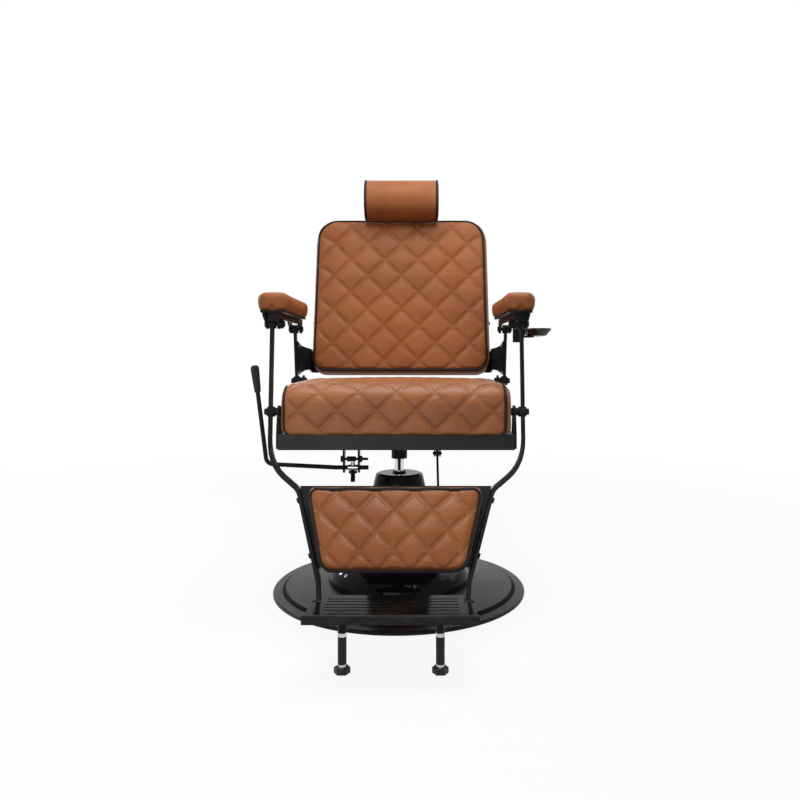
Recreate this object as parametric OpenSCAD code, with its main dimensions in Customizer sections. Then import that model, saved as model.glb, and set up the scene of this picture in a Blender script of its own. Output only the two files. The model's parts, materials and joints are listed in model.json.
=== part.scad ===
// Hydraulic barber chair: disc base, pump column, swivelling seat, reclining back
// linked to the armrests and leg rest, and a folding footplate on two screw feet.
// Origin at the centre of the base on the floor, +Z up, the chair faces -Y.

/* [Base] */
// Diameter of the cast floor disc
base_d = 710; // [680:5:740]
// Height of the disc's outer rim
base_rim_h = 10; // [8:1:12]
// Diameter of the domed cover on the disc
dome_d = 402; // [390:2:420]
// Height of the top of the domed cover
dome_top_z = 96; // [90:1:100]

/* [Column] */
// Diameter of the bell-shaped column cover at its shoulder
bell_top_d = 130; // [118:1:134]
// Height of the top of the column cover
bell_top_z = 330; // [324:1:334]
// Diameter of the lifting piston
piston_d = 28; // [26:1:30]
// Length of the pump pedal from its pivot to its pad
pedal_reach = 300; // [280:5:310]

/* [Seat] */
// Width of the steel seat frame
frame_w = 589; // [585:1:593]
// Height of the frame rails
rail_h = 40; // [36:1:42]
// Height of the underside of the rails
rail_z = 429; // [427:1:432]
// Width of the seat cushion
seat_w = 573; // [550:1:576]
// Depth of the seat cushion, front to back
seat_depth = 468; // [450:2:470]
// Thickness of the seat cushion at its crown
seat_t = 137; // [130:1:139]

/* [Backrest] */
// Width of the back cushion at its top edge
back_w = 557; // [540:1:560]
// Height of the back cushion along its slope
back_h = 511; // [480:1:514]
// Thickness of the back cushion
back_t = 62; // [56:1:66]
// Lean of the back from the vertical, in degrees
back_tilt = 11; // [10:0.5:12]

/* [Headrest] */
// Width of the headrest roll
head_w = 240; // [220:2:250]
// Height of the headrest roll
head_h = 124; // [116:1:126]
// Thickness of the headrest roll
head_t = 86; // [80:1:90]

/* [Arms] */
// Distance from the centre plane to each link bar
link_x = 318; // [317:0.5:320]
// Length of an arm pad
arm_l = 340; // [320:5:345]
// Width of an arm pad
arm_w = 78; // [68:1:80]
// Thickness of an arm pad
arm_t = 50; // [46:1:54]

/* [Leg rest] */
// Lean of the leg rest from the vertical, in degrees
leg_tilt = 35; // [34:0.5:36]
// Width of the calf cushion at its top edge
calf_top_w = 430; // [410:2:434]
// Width of the calf cushion at its bottom edge
calf_bottom_w = 328; // [320:2:334]
// Height of the calf cushion along its slope
calf_h = 205; // [200:1:216]

/* [Footrest] */
// Width of the footplate
foot_w = 352; // [344:2:356]
// Depth of the footplate, front to back
foot_depth = 166; // [160:1:170]
// Distance between the two screw feet
foot_spacing = 200; // [190:2:210]

/* [Hidden] */

// Base and column, worked out from the sizes above
base_r = base_d / 2;
step_r = base_r * 0.915;
dome_r = dome_d / 2;
dome_z = 28;
dome_top_r = 86;
wall = 3;
mat_h = 3;
fit = 0.05;
piston_r = piston_d / 2;
cylinder_r = 45;
cylinder_bore_r = 32;
cylinder_z = 26;
cylinder_top_z = 290;
flange_r = 64;
flange_h = 8;
bell_bottom_z = 97;
bell_bottom_r = 104;
bell_top_r = bell_top_d / 2;
pedal_y = 62;
pedal_z = 118;
pedal_pin_r = 4;

// Seat frame
frame_x = frame_w / 2;
rail_top_z = rail_z + rail_h;
rail_t = 6;
front_rail_y = -272;
front_rail_t = 25;
rear_rail_y = 162;
rear_rail_t = 18;
cross_x = 70;
cross_w = 40;
cross_h = 28;
board_t = 12;
hub_plate_t = 8;
hub_z = 371;
hub_r = 22.5;
piston_top_z = 404;
seat_front_y = -298;

// Pivots of the reclining linkage, as [Y, Z]
leg_pivot = [-235, 522];
arm_front_pivot = [-222, 745];
arm_rear_pivot = [107, 745];
back_pivot = [140, 588];
bar_t = 8;
bar_w = 20;
hub_half = 9;
pivot_bolt_r = 6;
arm_pin_r = 5;
rear_hole_r = 7.1;

// Backrest
back_y = 185;
back_z = 617;
back_board_t = 12;
bracket_t = 5;
back_drop = 4;
back_flare = 1.02;
web_top = 77;
edge_bolt = [68.4, 170];
edge_bolt_r = 3;

// Headrest, in the back's own axes: out of the back, up the back
head_v = -42;
head_u = 561;
head_pivot_v = 22;
head_pivot_u = 566;
head_bar_x = 60;
head_bar_r = 6;
head_bar_v = 86;

// Armrests
arm_x = 310.5;
arm_front_y = -265;
arm_plate_z = 772;
arm_plate_t = 6;
arm_inner_x = 304;
arm_outer_x = 328.5;
tray_z = 717;
tray_h = 19;
tray_half_w = 33;
tray_half_l = 70;

// Leg rest and footplate
hinge_y = -465;
hinge_z = 113.5;
hinge_x = 164;
hinge_pin_r = 5;
calf_low = 63;
calf_tuck = 12;
bar_shoulder = [320.5, 398];
bar_knee = [236, 338];
bar_ankle = [170, 157];
panel_gap = 5.2;
calf_bolt_u = [112, 248];
rib_gap = 7;
calf_t = 46;
plate_tilt = 5.9;
plate_z = 14.4;
plate_t = 5;
lip_r = 3;
foot_y = -585;
foot_pad_z = 18;
foot_hex_h = 11;
sleeve_r = 9;
stud_r = 5;

// Recline lever and gas strut
lever_y = -130;
lever_z = 364;
lever_r = 5.8;
crank_x = -165;
crank_l = 191;
crank_rise = 2.9;
lever_bend = 20;
lever_lean = 10;
lever_rod_l = 217;
grip_low = 177;
collar_r = 7.6;
strut_x = 105;
strut_top = [-150, 405];
strut_len = 258;
strut_rod_r = 3;
strut_r = 10;
strut_pin_r = 4;

// Unit vector along v
function unit(v) = v / norm(v);

// Arc that rounds the corner b of the path a, b, c with radius r
function corner_arc(a, b, c, r, n = 7) =
  let (
    p = unit(a - b),
    q = unit(c - b),
    half = acos(p * q) / 2,
    centre = b + unit(p + q) * r / sin(half),
    from = b + p * r / tan(half) - centre,
    sweep = 180 - 2 * half,
    side = p[0] * q[1] - p[1] * q[0] > 0 ? -1 : 1
  )
  [for (i = [0:n - 1]) let (t = side * sweep * i / (n - 1))
    centre + [from[0] * cos(t) - from[1] * sin(t), from[0] * sin(t) + from[1] * cos(t)]];

// Path with its inner corners rounded: radii has one value for each of them
function smooth(path, radii) = [
  path[0],
  for (i = [1:len(path) - 2]) each corner_arc(path[i - 1], path[i], path[i + 1], radii[i - 1]),
  path[len(path) - 1]
];

// Direction across the path at point i, lengthened at a bend so that the strip keeps its width
function across(path, i) =
  let (
    last = len(path) - 1,
    before = unit(path[max(i, 1)] - path[max(i, 1) - 1]),
    after = unit(path[min(i, last - 1) + 1] - path[min(i, last - 1)]),
    middle = unit(before + after)
  )
  [-middle[1], middle[0]] / (middle * after);

// Outline of a strip of width w along a path
function strip(path, w) = concat(
  [for (i = [0:len(path) - 1]) path[i] + across(path, i) * w / 2],
  [for (i = [len(path) - 1:-1:0]) path[i] - across(path, i) * w / 2]
);

// How far an edge of radius r falls away at a distance e inside it
function fall(e, r) = e >= r ? 0 : r - sqrt(r * r - (r - e) * (r - e));

// Height of one diamond of a quilted face: 0 on the seams, 1 in the middle
function diamond(a, b) = abs(sin(180 * (a + b))) * abs(sin(180 * (a - b)));

// Section of a pad, as [along, height, normal along, normal height, crown, quilting, run].
// It climbs the near side, rounds over with radius near_r, crosses the face and goes down the far side.
// The foot of the near side is tucked in by tuck.
function pad_section(length, height, near_r, far_r, near_steps, face_steps, wrapped, tuck) =
  let (
    near_h = height - near_r,
    far_h = height - far_r,
    face = length - near_r - far_r,
    arc = near_r * PI / 2,
    run = near_h + arc + face,
    draw = 3
  )
  concat(
    [for (i = [0:near_steps]) let (k = i / near_steps)
      [tuck * (1 - k) + (wrapped ? 0 : draw * sin(180 * k)), near_h * k, -1, 0, 0, wrapped && i > 0 ? 1 : 0,
        near_h * k]],
    [for (i = [1:3]) let (a = 30 * i)
      [near_r - near_r * cos(a), near_h + near_r * sin(a), -cos(a), sin(a), 0, wrapped || i == 3 ? 1 : 0,
        near_h + arc * a / 90]],
    [for (i = [1:face_steps]) let (k = i / face_steps)
      [near_r + face * k, height, 0, 1, 4 * k * (1 - k), i < face_steps ? 1 : 0, near_h + arc + face * k]],
    [for (i = [2, 1, 0]) let (a = 30 * i)
      [length - far_r + far_r * cos(a), far_h + far_r * sin(a), cos(a), sin(a), 0, 0, run]],
    [[length - draw, far_h / 2, 1, 0, 0, 0, run], [length, 0, 1, 0, 0, 0, run]]
  );

// One ring of a pad at x: the section, drawn in near the pad's two ends and swollen by crown and quilting.
// The quilting seams cross on the centre plane where the run is first.
function pad_ring(x, width, length, section, side_r, near_corner, far_corner, crown, puff, pitch, run_pitch,
    first, taper) =
  let (
    e = width / 2 - abs(x),
    near = fall(e, near_corner),
    far = length - fall(e, far_corner),
    inset = fall(e, side_r),
    inside = e > side_r * 0.9 ? 1 : 0,
    bow = 1 - pow(2 * x / width, 2)
  )
  [for (p = section) let (
      quilt = puff * p[5] * diamond(x / pitch, (p[6] - first) / run_pitch),
      swell = crown * bow * p[4] + inside * quilt - inset,
      along = near + (far - near) * (p[0] + p[2] * swell) / length,
      slim = taper + (1 - taper) * along / length
    )
    [x * slim, along, max(0, p[1] + p[3] * swell)]];

// Positions of the rings across a pad: close together at the rounded ends, even between them
function pad_stations(width, side_r, steps) = concat(
  [for (k = [0, 0.12, 0.45]) -width / 2 + side_r * k],
  [for (i = [0:steps]) -width / 2 + side_r + (width - 2 * side_r) * i / steps],
  [for (k = [0.45, 0.12, 0]) width / 2 - side_r * k]
);

// Closed skin through a row of rings, with each end pulled in at its middle
module loft(rings, draw) {
  n = len(rings);
  m = len(rings[0]);
  low = rings[0];
  high = rings[n - 1];
  ones = [for (i = [1:m]) 1];
  middles = [(ones * low) / m + [draw, 0, 0], (ones * high) / m - [draw, 0, 0]];
  points = concat([for (r = rings) each r], middles);
  skin = [for (i = [0:n - 2]) for (j = [0:m - 1]) let (
      a = i * m + j,
      b = i * m + (j + 1) % m,
      c = a + m,
      d = b + m
    )
    each (i - j) % 2 == 0 ? [[a, b, d], [a, d, c]] : [[a, b, c], [b, d, c]]];
  ends = [for (j = [0:m - 1]) each [
    [n * m, (j + 1) % m, j],
    [n * m + 1, (n - 1) * m + j, (n - 1) * m + (j + 1) % m]]];
  polyhedron(points, concat(skin, ends), convexity = 4);
}

// Upholstered pad lying on the XY plane: X across, Y along its section, Z up
module pad(width, length, height, near_r = 18, far_r = 18, near_steps = 2, face_steps = 16, wrapped = false,
    side_r = 18, steps = 20, near_corner = 0.1, far_corner = 0.1, crown = 6, puff = 6, pitch = 105,
    run_pitch = 100, first = 0, taper = 1, tuck = 0) {
  section = pad_section(length, height, near_r, far_r, near_steps, face_steps, wrapped, tuck);
  loft([for (x = pad_stations(width, side_r, steps))
    pad_ring(x, width, length, section, side_r, near_corner, far_corner, crown, puff, pitch, run_pitch, first,
      taper)], 3);
}

// Outline in the YZ plane, from x0 to x1
module side_plate(x0, x1) {
  translate([x0, 0, 0]) rotate([90, 0, 90]) linear_extrude(x1 - x0) children();
}

// Cylinder along X at [Y, Z] from x0 to x1
module x_pin(r, at, x0, x1) {
  translate([x0, at[0], at[1]]) rotate([0, 90, 0]) cylinder(r = r, h = x1 - x0, $fn = 48);
}

// Hexagon nut or bolt head along X
module x_hex(r, at, x0, x1) {
  translate([x0, at[0], at[1]]) rotate([0, 90, 0]) cylinder(r = r, h = x1 - x0, $fn = 6);
}

// The children and their mirror image on the left side
module both_sides() {
  children();
  mirror([1, 0, 0]) children();
}

// One side's piece: side is 1 on the right and -1 on the left
module on_side(side) {
  if (side > 0) children();
  else mirror([1, 0, 0]) children();
}

// Axes of the leaning back: Y out of its rear face, Z up its slope
module at_back() {
  translate([0, back_y, back_z]) rotate([-back_tilt, 0, 0]) children();
}

// Axes of the leg rest: -Y out of its front face, Z up its slope
module at_leg() {
  translate([0, hinge_y, hinge_z]) rotate([-leg_tilt, 0, 0]) children();
}

// Axes of the footplate: -Y towards its front edge
module at_plate() {
  translate([0, hinge_y, hinge_z]) rotate([-plate_tilt, 0, 0]) children();
}

// Axes of the gas strut: Z from its top eye towards its lower eye
module at_strut() {
  lean = acos((strut_top[1] - strut_foot()[1]) / strut_len);
  translate([strut_x, strut_top[0], strut_top[1]]) rotate([180 - lean, 0, 0]) children();
}

// Point behind the leg rest where the strut's lower eye sits, as [Y, Z]
function leg_point(out, up) = [
  hinge_y - out * cos(leg_tilt) + up * sin(leg_tilt),
  hinge_z + out * sin(leg_tilt) + up * cos(leg_tilt)
];
function strut_foot() = leg_point(-25, 170);

// Dome outline: a quarter ellipse from the disc up to the foot of the column cover
function dome_curve(inset) = [for (a = [90:-7.5:0])
  [dome_top_r + (dome_r - inset - dome_top_r) * cos(a),
    dome_z + 6 + (dome_top_z - inset - dome_z - 6) * sin(a)]];

// Column cover radius at height z
function bell_r(z) = bell_top_r
  + (bell_bottom_r - bell_top_r) * pow((bell_top_z - z) / (bell_top_z - bell_bottom_z), 0.75);
function bell_curve(inset) = [for (i = [0:12])
  let (z = bell_bottom_z + (bell_top_z - 3 - bell_bottom_z) * i / 12)
  [bell_r(z) - inset, z]];

module base_plate() {
  color([0.07, 0.06, 0.06]) difference() {
    rotate_extrude($fn = 160) polygon([
      [0, 0.5], [base_r - 12, 0.5], [base_r - 12, 0], [base_r - 2, 0], [base_r, 2], [base_r, base_rim_h - 3],
      [base_r - 3, base_rim_h], [step_r + 3, base_rim_h + 2], [step_r, base_rim_h + 6],
      [step_r - 4, base_rim_h + 9], [dome_r + 3, dome_z], [dome_r - 6, dome_z], [dome_r - 10, cylinder_z - 4],
      [dome_top_r, cylinder_z - 4], [dome_top_r, cylinder_z], [0, cylinder_z]
    ]);
    translate([0, 0, -1]) rotate_extrude($fn = 120) polygon([
      [75, 0], [base_r - 20, 0], [step_r - 10, base_rim_h], [dome_r, base_rim_h + 6], [75, base_rim_h + 6]
    ]);
    translate([0, 0, -1]) cylinder(r = base_r - 12, h = mat_h + 1, $fn = 120);
    flange_holes();
  }
}

module floor_mat() {
  color([0.05, 0.05, 0.05]) cylinder(r = base_r - 12.3, h = mat_h - 0.1, $fn = 120);
}

module base_dome() {
  color([0.05, 0.045, 0.045]) rotate_extrude($fn = 120) polygon(concat(
    [[dome_r, dome_z + 0.1]], [for (p = [for (i = [12:-1:0]) dome_curve(0)[i]]) p],
    dome_curve(wall), [[dome_r - wall, dome_z + 0.1]]
  ));
}

// Four holes or four shanks of the pump's flange bolts
module flange_ring(r, z0, z1, sides) {
  for (a = [45:90:315]) rotate([0, 0, a]) translate([flange_r - 10, 0, z0])
    cylinder(r = r, h = z1 - z0, $fn = sides);
}

module flange_holes() {
  flange_ring(5 + fit, 8, cylinder_z + flange_h + 1, 32);
}

module pump_cylinder() {
  color([0.1, 0.1, 0.1]) difference() {
    rotate_extrude($fn = 80) polygon([
      [0, cylinder_z], [flange_r, cylinder_z], [flange_r, cylinder_z + flange_h],
      [cylinder_r, cylinder_z + flange_h], [cylinder_r, cylinder_top_z], [cylinder_bore_r, cylinder_top_z],
      [cylinder_bore_r, cylinder_z + flange_h + 4], [0, cylinder_z + flange_h + 4]
    ]);
    flange_holes();
  }
}

module pump_bolts() {
  color("silver") {
    flange_ring(5, 10, cylinder_z + flange_h + 0.1, 32);
    flange_ring(7.5, cylinder_z + flange_h + 0.1, cylinder_z + flange_h + 6, 6);
  }
}

module cylinder_gland() {
  color([0.12, 0.12, 0.12]) rotate_extrude($fn = 80) polygon([
    [piston_r + fit, cylinder_top_z - 14], [cylinder_bore_r - 0.1, cylinder_top_z - 14],
    [cylinder_bore_r - 0.1, cylinder_top_z + 0.1], [cylinder_r, cylinder_top_z + 0.1],
    [cylinder_r, cylinder_top_z + 16], [28, cylinder_top_z + 22], [piston_r + fit, cylinder_top_z + 22]
  ]);
}

module column_cover() {
  color([0.04, 0.04, 0.04]) difference() {
    rotate_extrude($fn = 96) polygon(concat(
      bell_curve(0),
      [[bell_top_r - 6, bell_top_z], [18, bell_top_z], [18, bell_top_z - wall],
        [bell_top_r - 7, bell_top_z - wall]],
      [for (i = [11:-1:0]) bell_curve(wall)[i]]
    ));
    // Slot that the pedal arm swings in
    translate([-8, 60, 99]) cube([16, 70, 32]);
  }
}

module wiper_ring() {
  color([0.06, 0.06, 0.06]) rotate_extrude($fn = 64) polygon([
    [piston_r + fit, bell_top_z - wall], [17.9, bell_top_z - wall], [17.9, bell_top_z + 0.1],
    [20, bell_top_z + 0.1], [18, bell_top_z + 4], [piston_r + fit, bell_top_z + 4]
  ]);
}

module pedal_bracket() {
  color([0.1, 0.1, 0.1]) {
    translate([-14, cylinder_r, pedal_z - 18]) cube([28, 5, 36]);
    for (x = [-14, 10]) side_plate(x, x + 4) {
      polygon([[cylinder_r + 4, pedal_z - 16], [pedal_y, pedal_z - 10], [pedal_y, pedal_z + 10],
        [cylinder_r + 4, pedal_z + 16]]);
      translate([pedal_y, pedal_z]) circle(r = 10, $fn = 48);
    }
    x_pin(pedal_pin_r, [pedal_y, pedal_z], -16, 16);
  }
}

module pedal_arm() {
  arm_end = pedal_y + pedal_reach;
  color([0.12, 0.12, 0.12]) difference() {
    union() {
      x_pin(9.4, [pedal_y, pedal_z], -9.6, 9.6);
      side_plate(-5, 5) polygon([[pedal_y, pedal_z - 7], [200, pedal_z - 6], [arm_end - 20, pedal_z],
        [arm_end + 20, pedal_z], [arm_end + 20, pedal_z + 6], [arm_end - 30, pedal_z + 6], [200, pedal_z + 7],
        [pedal_y, pedal_z + 7]]);
      translate([-34, arm_end - 36, pedal_z]) cube([68, 56, 6]);
    }
    x_pin(pedal_pin_r + fit, [pedal_y, pedal_z], -12, 12);
  }
}

module pedal_pad() {
  color([0.06, 0.06, 0.06]) difference() {
    translate([-36, pedal_y + pedal_reach - 38, pedal_z + 6.1]) cube([72, 60, 11]);
    for (i = [0:4]) translate([-40, pedal_y + pedal_reach - 31 + 11 * i, pedal_z + 15]) cube([80, 4, 4]);
  }
}

module piston_rod() {
  color([0.8, 0.8, 0.82]) rotate_extrude($fn = 64) polygon([
    [0, 60], [piston_r, 60], [piston_r, piston_top_z - 2], [piston_r - 2, piston_top_z], [0, piston_top_z]
  ]);
}

module piston_head() {
  color([0.5, 0.5, 0.52]) rotate_extrude($fn = 64) polygon([
    [piston_r + 0.02, 62], [cylinder_bore_r - 0.08, 62], [cylinder_bore_r - 0.08, 82], [piston_r + 0.02, 82]
  ]);
}

// Corners of the square of hub bolts
module hub_bolt_ring(r, z0, z1, sides) {
  for (x = [-cross_x, cross_x]) for (y = [-70, 70])
    translate([x, y, z0]) cylinder(r = r, h = z1 - z0, $fn = sides);
}

module swivel_hub() {
  color([0.08, 0.08, 0.08]) difference() {
    union() {
      rotate_extrude($fn = 64) polygon([
        [0, hub_z], [hub_r, hub_z], [hub_r, rail_z - 20], [hub_r + 14, rail_z - hub_plate_t],
        [0, rail_z - hub_plate_t]
      ]);
      translate([-95, -90, rail_z - hub_plate_t]) cube([190, 180, hub_plate_t - 0.1]);
    }
    translate([0, 0, hub_z - 1]) cylinder(r = piston_r + fit, h = piston_top_z + 3 - hub_z, $fn = 64);
    hub_bolt_ring(4 + fit, rail_z - 10, rail_z + 1, 32);
  }
}

module hub_bolts() {
  color("silver") {
    hub_bolt_ring(4, rail_z - 8.1, rail_z + 2, 32);
    hub_bolt_ring(8, rail_z - 14, rail_z - 8.1, 6);
  }
}

module cross_rails() {
  color([0.09, 0.09, 0.09]) difference() {
    both_sides() difference() {
      translate([cross_x - cross_w / 2, front_rail_y + front_rail_t + 0.2, rail_z])
        cube([cross_w, rear_rail_y - front_rail_y - front_rail_t - 0.4, cross_h]);
      translate([cross_x - cross_w / 2 + wall, front_rail_y, rail_z + wall])
        cube([cross_w - 2 * wall, 600, cross_h - 2 * wall]);
    }
    hub_bolt_ring(4 + fit, rail_z - 1, rail_z + wall + 1, 32);
  }
}

module front_rail() {
  color([0.16, 0.16, 0.16]) difference() {
    translate([-frame_x, front_rail_y, rail_z]) cube([frame_w, front_rail_t, rail_h]);
    translate([-frame_x - 1, front_rail_y + wall, rail_z + wall])
      cube([frame_w + 2, front_rail_t - 2 * wall, rail_h - 2 * wall]);
  }
}

module rear_rail() {
  color([0.12, 0.12, 0.12]) difference() {
    translate([-frame_x, rear_rail_y, rail_z]) cube([frame_w, rear_rail_t, rail_h]);
    translate([-frame_x - 1, rear_rail_y + wall, rail_z + wall])
      cube([frame_w + 2, rear_rail_t - 2 * wall, rail_h - 2 * wall]);
  }
}

module side_rail(side) {
  color([0.12, 0.12, 0.12]) on_side(side)
    translate([frame_x - rail_t, front_rail_y + front_rail_t + 0.1, rail_z])
      cube([rail_t, rear_rail_y - front_rail_y - front_rail_t - 0.2, rail_h]);
}

// Upright plate outside a side rail that carries a pivot at [Y, Z]
module pivot_plate(at, y0, y1, r) {
  color([0.1, 0.1, 0.1]) both_sides() difference() {
    union() {
      side_plate(frame_x + 0.1, frame_x + 6) {
        polygon([[y0, rail_z + 2], [y1, rail_z + 2], [y1, rail_top_z - 2],
          [at[0] + r, at[1]], [at[0] - r, at[1]],
          [y0, rail_top_z - 2]]);
        translate(at) circle(r = r, $fn = 64);
      }
      x_pin(10, at, frame_x + 5, link_x - hub_half - 0.3);
    }
    x_pin(pivot_bolt_r + fit, at, frame_x - 5, link_x);
  }
}

module front_brackets() {
  pivot_plate(leg_pivot, -264, -206, 16);
}

module rear_brackets() {
  pivot_plate(back_pivot, 104, 172, 17);
}

module frame_pivots() {
  color([0.6, 0.6, 0.62]) both_sides() for (at = [leg_pivot, back_pivot]) {
    x_hex(9.5, at, frame_x - 7, frame_x - 0.1);
    x_pin(pivot_bolt_r, at, frame_x - 7, link_x + hub_half + 0.3);
    x_pin(9.5, at, link_x + hub_half + 0.3, link_x + hub_half + 3);
    x_hex(8, at, link_x + hub_half + 3, link_x + hub_half + 8);
  }
}

module seat_board() {
  color([0.6, 0.45, 0.3])
    translate([-frame_x + 8, front_rail_y + front_rail_t + 1, rail_top_z - board_t + 0.1])
    cube([frame_w - 16, rear_rail_y - front_rail_y - front_rail_t - 2, board_t - 0.1]);
}

module seat_cushion() {
  color([0.55, 0.33, 0.21]) translate([0, seat_front_y, rail_top_z + 0.3])
    pad(seat_w, seat_depth, seat_t - 11, near_r = 52, far_r = 26, near_steps = 3, face_steps = 12,
      wrapped = true, side_r = 26, steps = 20, near_corner = 8, far_corner = 30, crown = 8, puff = 5,
      pitch = 96, run_pitch = 96,
      first = 9);
}

module lever_bracket() {
  bolt_z = lever_z + 23;
  color([0.08, 0.08, 0.08]) difference() {
    union() {
      translate([-152, lever_y - 22, rail_z - 6]) cube([100, 44, 5.9]);
      for (x = [-147, -107]) side_plate(x, x + 5) {
        polygon([[lever_y - 18, rail_z - 5], [lever_y - 12, lever_z], [lever_y + 12, lever_z],
          [lever_y + 18, rail_z - 5]]);
        translate([lever_y, lever_z]) circle(r = 14, $fn = 48);
      }
      x_pin(3.5, [lever_y, bolt_z], -154, -80);
      for (x = [-153.5, -102.5]) x_hex(8.5, [lever_y, bolt_z], x, x + 7);
      x_pin(7, [lever_y, bolt_z], -137, -113);
    }
    x_pin(lever_r + fit, [lever_y, lever_z], -200, -90);
  }
}

module strut_bracket() {
  color([0.08, 0.08, 0.08]) {
    translate([52, strut_top[0] - 16, rail_z - 6]) cube([66, 32, 5.9]);
    for (x = [strut_x - 9, strut_x + 5]) side_plate(x, x + 4) {
      polygon([[strut_top[0] - 12, rail_z - 5], [strut_top[0] - 9, strut_top[1]],
        [strut_top[0] + 9, strut_top[1]], [strut_top[0] + 12, rail_z - 5]]);
      translate(strut_top) circle(r = 9, $fn = 48);
    }
    x_pin(strut_pin_r, strut_top, strut_x - 12, strut_x + 12);
  }
}

// Upright plate centred on X, standing on Z = 0, with its own lower and upper corner radii
module rounded_plate(width, height, low_r, high_r) {
  for (x = [-1, 1]) {
    translate([x * (width / 2 - low_r), low_r]) circle(r = low_r, $fn = 64);
    translate([x * (width / 2 - high_r), height - high_r]) circle(r = high_r, $fn = 64);
  }
  polygon([
    [-width / 2 + low_r, 0], [width / 2 - low_r, 0], [width / 2, low_r], [width / 2, height - high_r],
    [width / 2 - high_r, height], [-width / 2 + high_r, height], [-width / 2, height - high_r],
    [-width / 2, low_r]
  ]);
}

// Slab between y0 and y1 with that outline, its lower edge at height z
module rounded_slab(width, height, low_r, high_r, y0, y1, z) {
  translate([0, y1, z]) rotate([90, 0, 0]) linear_extrude(y1 - y0)
    rounded_plate(width, height, low_r, high_r);
}

module back_board() {
  color([0.6, 0.45, 0.3]) at_back() difference() {
    rounded_slab(back_w - 12, back_h - 12, 40, 62, back_t + 0.3, back_t + back_board_t - 0.1, 6 - back_drop);
    both_sides() x_pin(edge_bolt_r + fit, edge_bolt, back_w / 2 - 26, back_w / 2);
  }
}

module back_cushion() {
  color([0.55, 0.33, 0.21]) at_back() translate([0, back_t, -back_drop]) rotate([90, 0, 0])
    pad(back_w, back_h, back_t - 4, near_r = 20, far_r = 24, near_steps = 2, face_steps = 19, side_r = 20,
      steps = 20, near_corner = 44, far_corner = 68, crown = 8, puff = 7, pitch = 107.6,
      run_pitch = 110, first = 30.7, taper = back_flare);
}

module back_cover() {
  color([0.1, 0.08, 0.07]) at_back() difference() {
    rounded_slab(456, back_h - 34, 30, 48, back_t + back_board_t + 0.2, back_t + back_board_t + 26, 16);
    rounded_slab(450, back_h - 40, 27, 45, back_t + back_board_t - 1, back_t + back_board_t + 23, 19);
    for (x = [-head_bar_x, head_bar_x]) translate([x, head_bar_v, back_h - 40])
      cylinder(r = 9.6, h = 60, $fn = 48);
  }
}

module back_bracket(side) {
  b = back_board_t + back_t;
  outer = link_x - bar_t / 2;
  color([0.08, 0.08, 0.08]) on_side(side) difference() {
    union() {
      // Sheet that leaves the post, bends in beside the cushion and turns behind the board
      intersection() {
        at_back() translate([0, 0, -30]) linear_extrude(160) polygon(strip(smooth([
          [outer - 1.5, -125], [outer - 1.5, -22], [289, 26], [289, b + 2.6], [238, b + 2.6]],
          [4, 4, 4, 4]), bracket_t));
        at_back() translate([0, 100, 0]) rotate([90, 0, 0]) linear_extrude(240) polygon([
          [230, 8], [292, 8], [301, 3], [308, -5], [outer + 1, -16], [outer + 1, web_top],
          [300, web_top - 2], [230, web_top + 2]]);
        side_plate(200, 400)
          polygon([back_pivot, arm_rear_pivot, [107, 800], [400, 800], [400, 500], [141, 500]]);
      }
      side_plate(outer, outer + bar_t)
        polygon(strip([back_pivot, arm_rear_pivot], bar_w));
      x_pin(13, arm_rear_pivot, link_x - hub_half, link_x + hub_half);
      x_pin(14, back_pivot, link_x - hub_half, link_x + hub_half);
      // Bolt in the edge of the board
      at_back() {
        x_pin(edge_bolt_r, edge_bolt, back_w / 2 - 25, back_w / 2 - 5);
        x_hex(5.8, edge_bolt, back_w / 2 - 5.8, back_w / 2 + 10);
      }
    }
    x_pin(rear_hole_r, arm_rear_pivot, link_x - 30, link_x + 30);
    x_pin(pivot_bolt_r + fit, back_pivot, link_x - 30, link_x + 30);
  }
}

module headrest_sockets() {
  color([0.1, 0.1, 0.1]) at_back() for (x = [-head_bar_x, head_bar_x]) difference() {
    union() {
      translate([x, head_bar_v, 370]) cylinder(r = 9, h = back_h - 366, $fn = 48);
      for (u = [380, 450]) translate([x - 20, back_t + back_board_t + 0.1, u]) cube([40, 4, 24]);
      for (u = [380, 450]) translate([x - 4, back_t + back_board_t + 3, u]) cube([8, 4, 24]);
    }
    translate([x, head_bar_v, 360]) cylinder(r = head_bar_r + fit, h = 180, $fn = 48);
  }
}

module headrest_bars() {
  color([0.75, 0.75, 0.77]) at_back() {
    for (x = [-head_bar_x, head_bar_x]) translate([x, head_bar_v, 330])
      cylinder(r = head_bar_r, h = head_pivot_u - 330, $fn = 48);
    x_pin(8, [head_bar_v, head_pivot_u], -head_bar_x - 8, head_bar_x + 8);
    both_sides() difference() {
      side_plate(38, 44) {
        polygon([[head_pivot_v, head_pivot_u - 8], [head_bar_v, head_pivot_u - 7],
          [head_bar_v, head_pivot_u + 7],
          [head_pivot_v, head_pivot_u + 8]]);
        translate([head_pivot_v, head_pivot_u]) circle(r = 9, $fn = 48);
      }
      x_pin(4 + fit, [head_pivot_v, head_pivot_u], 30, 60);
    }
  }
}

module headrest_core() {
  color([0.12, 0.12, 0.12]) at_back() {
    translate([-85, -1.6, head_u - 36]) cube([170, 8, 80]);
    both_sides() side_plate(45, 50) {
      polygon([[5, head_pivot_u - 16], [head_pivot_v, head_pivot_u - 9], [head_pivot_v, head_pivot_u + 9],
        [5, head_pivot_u + 16]]);
      translate([head_pivot_v, head_pivot_u]) circle(r = 9, $fn = 48);
    }
    x_pin(4, [head_pivot_v, head_pivot_u], -50, 50);
  }
}

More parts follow.
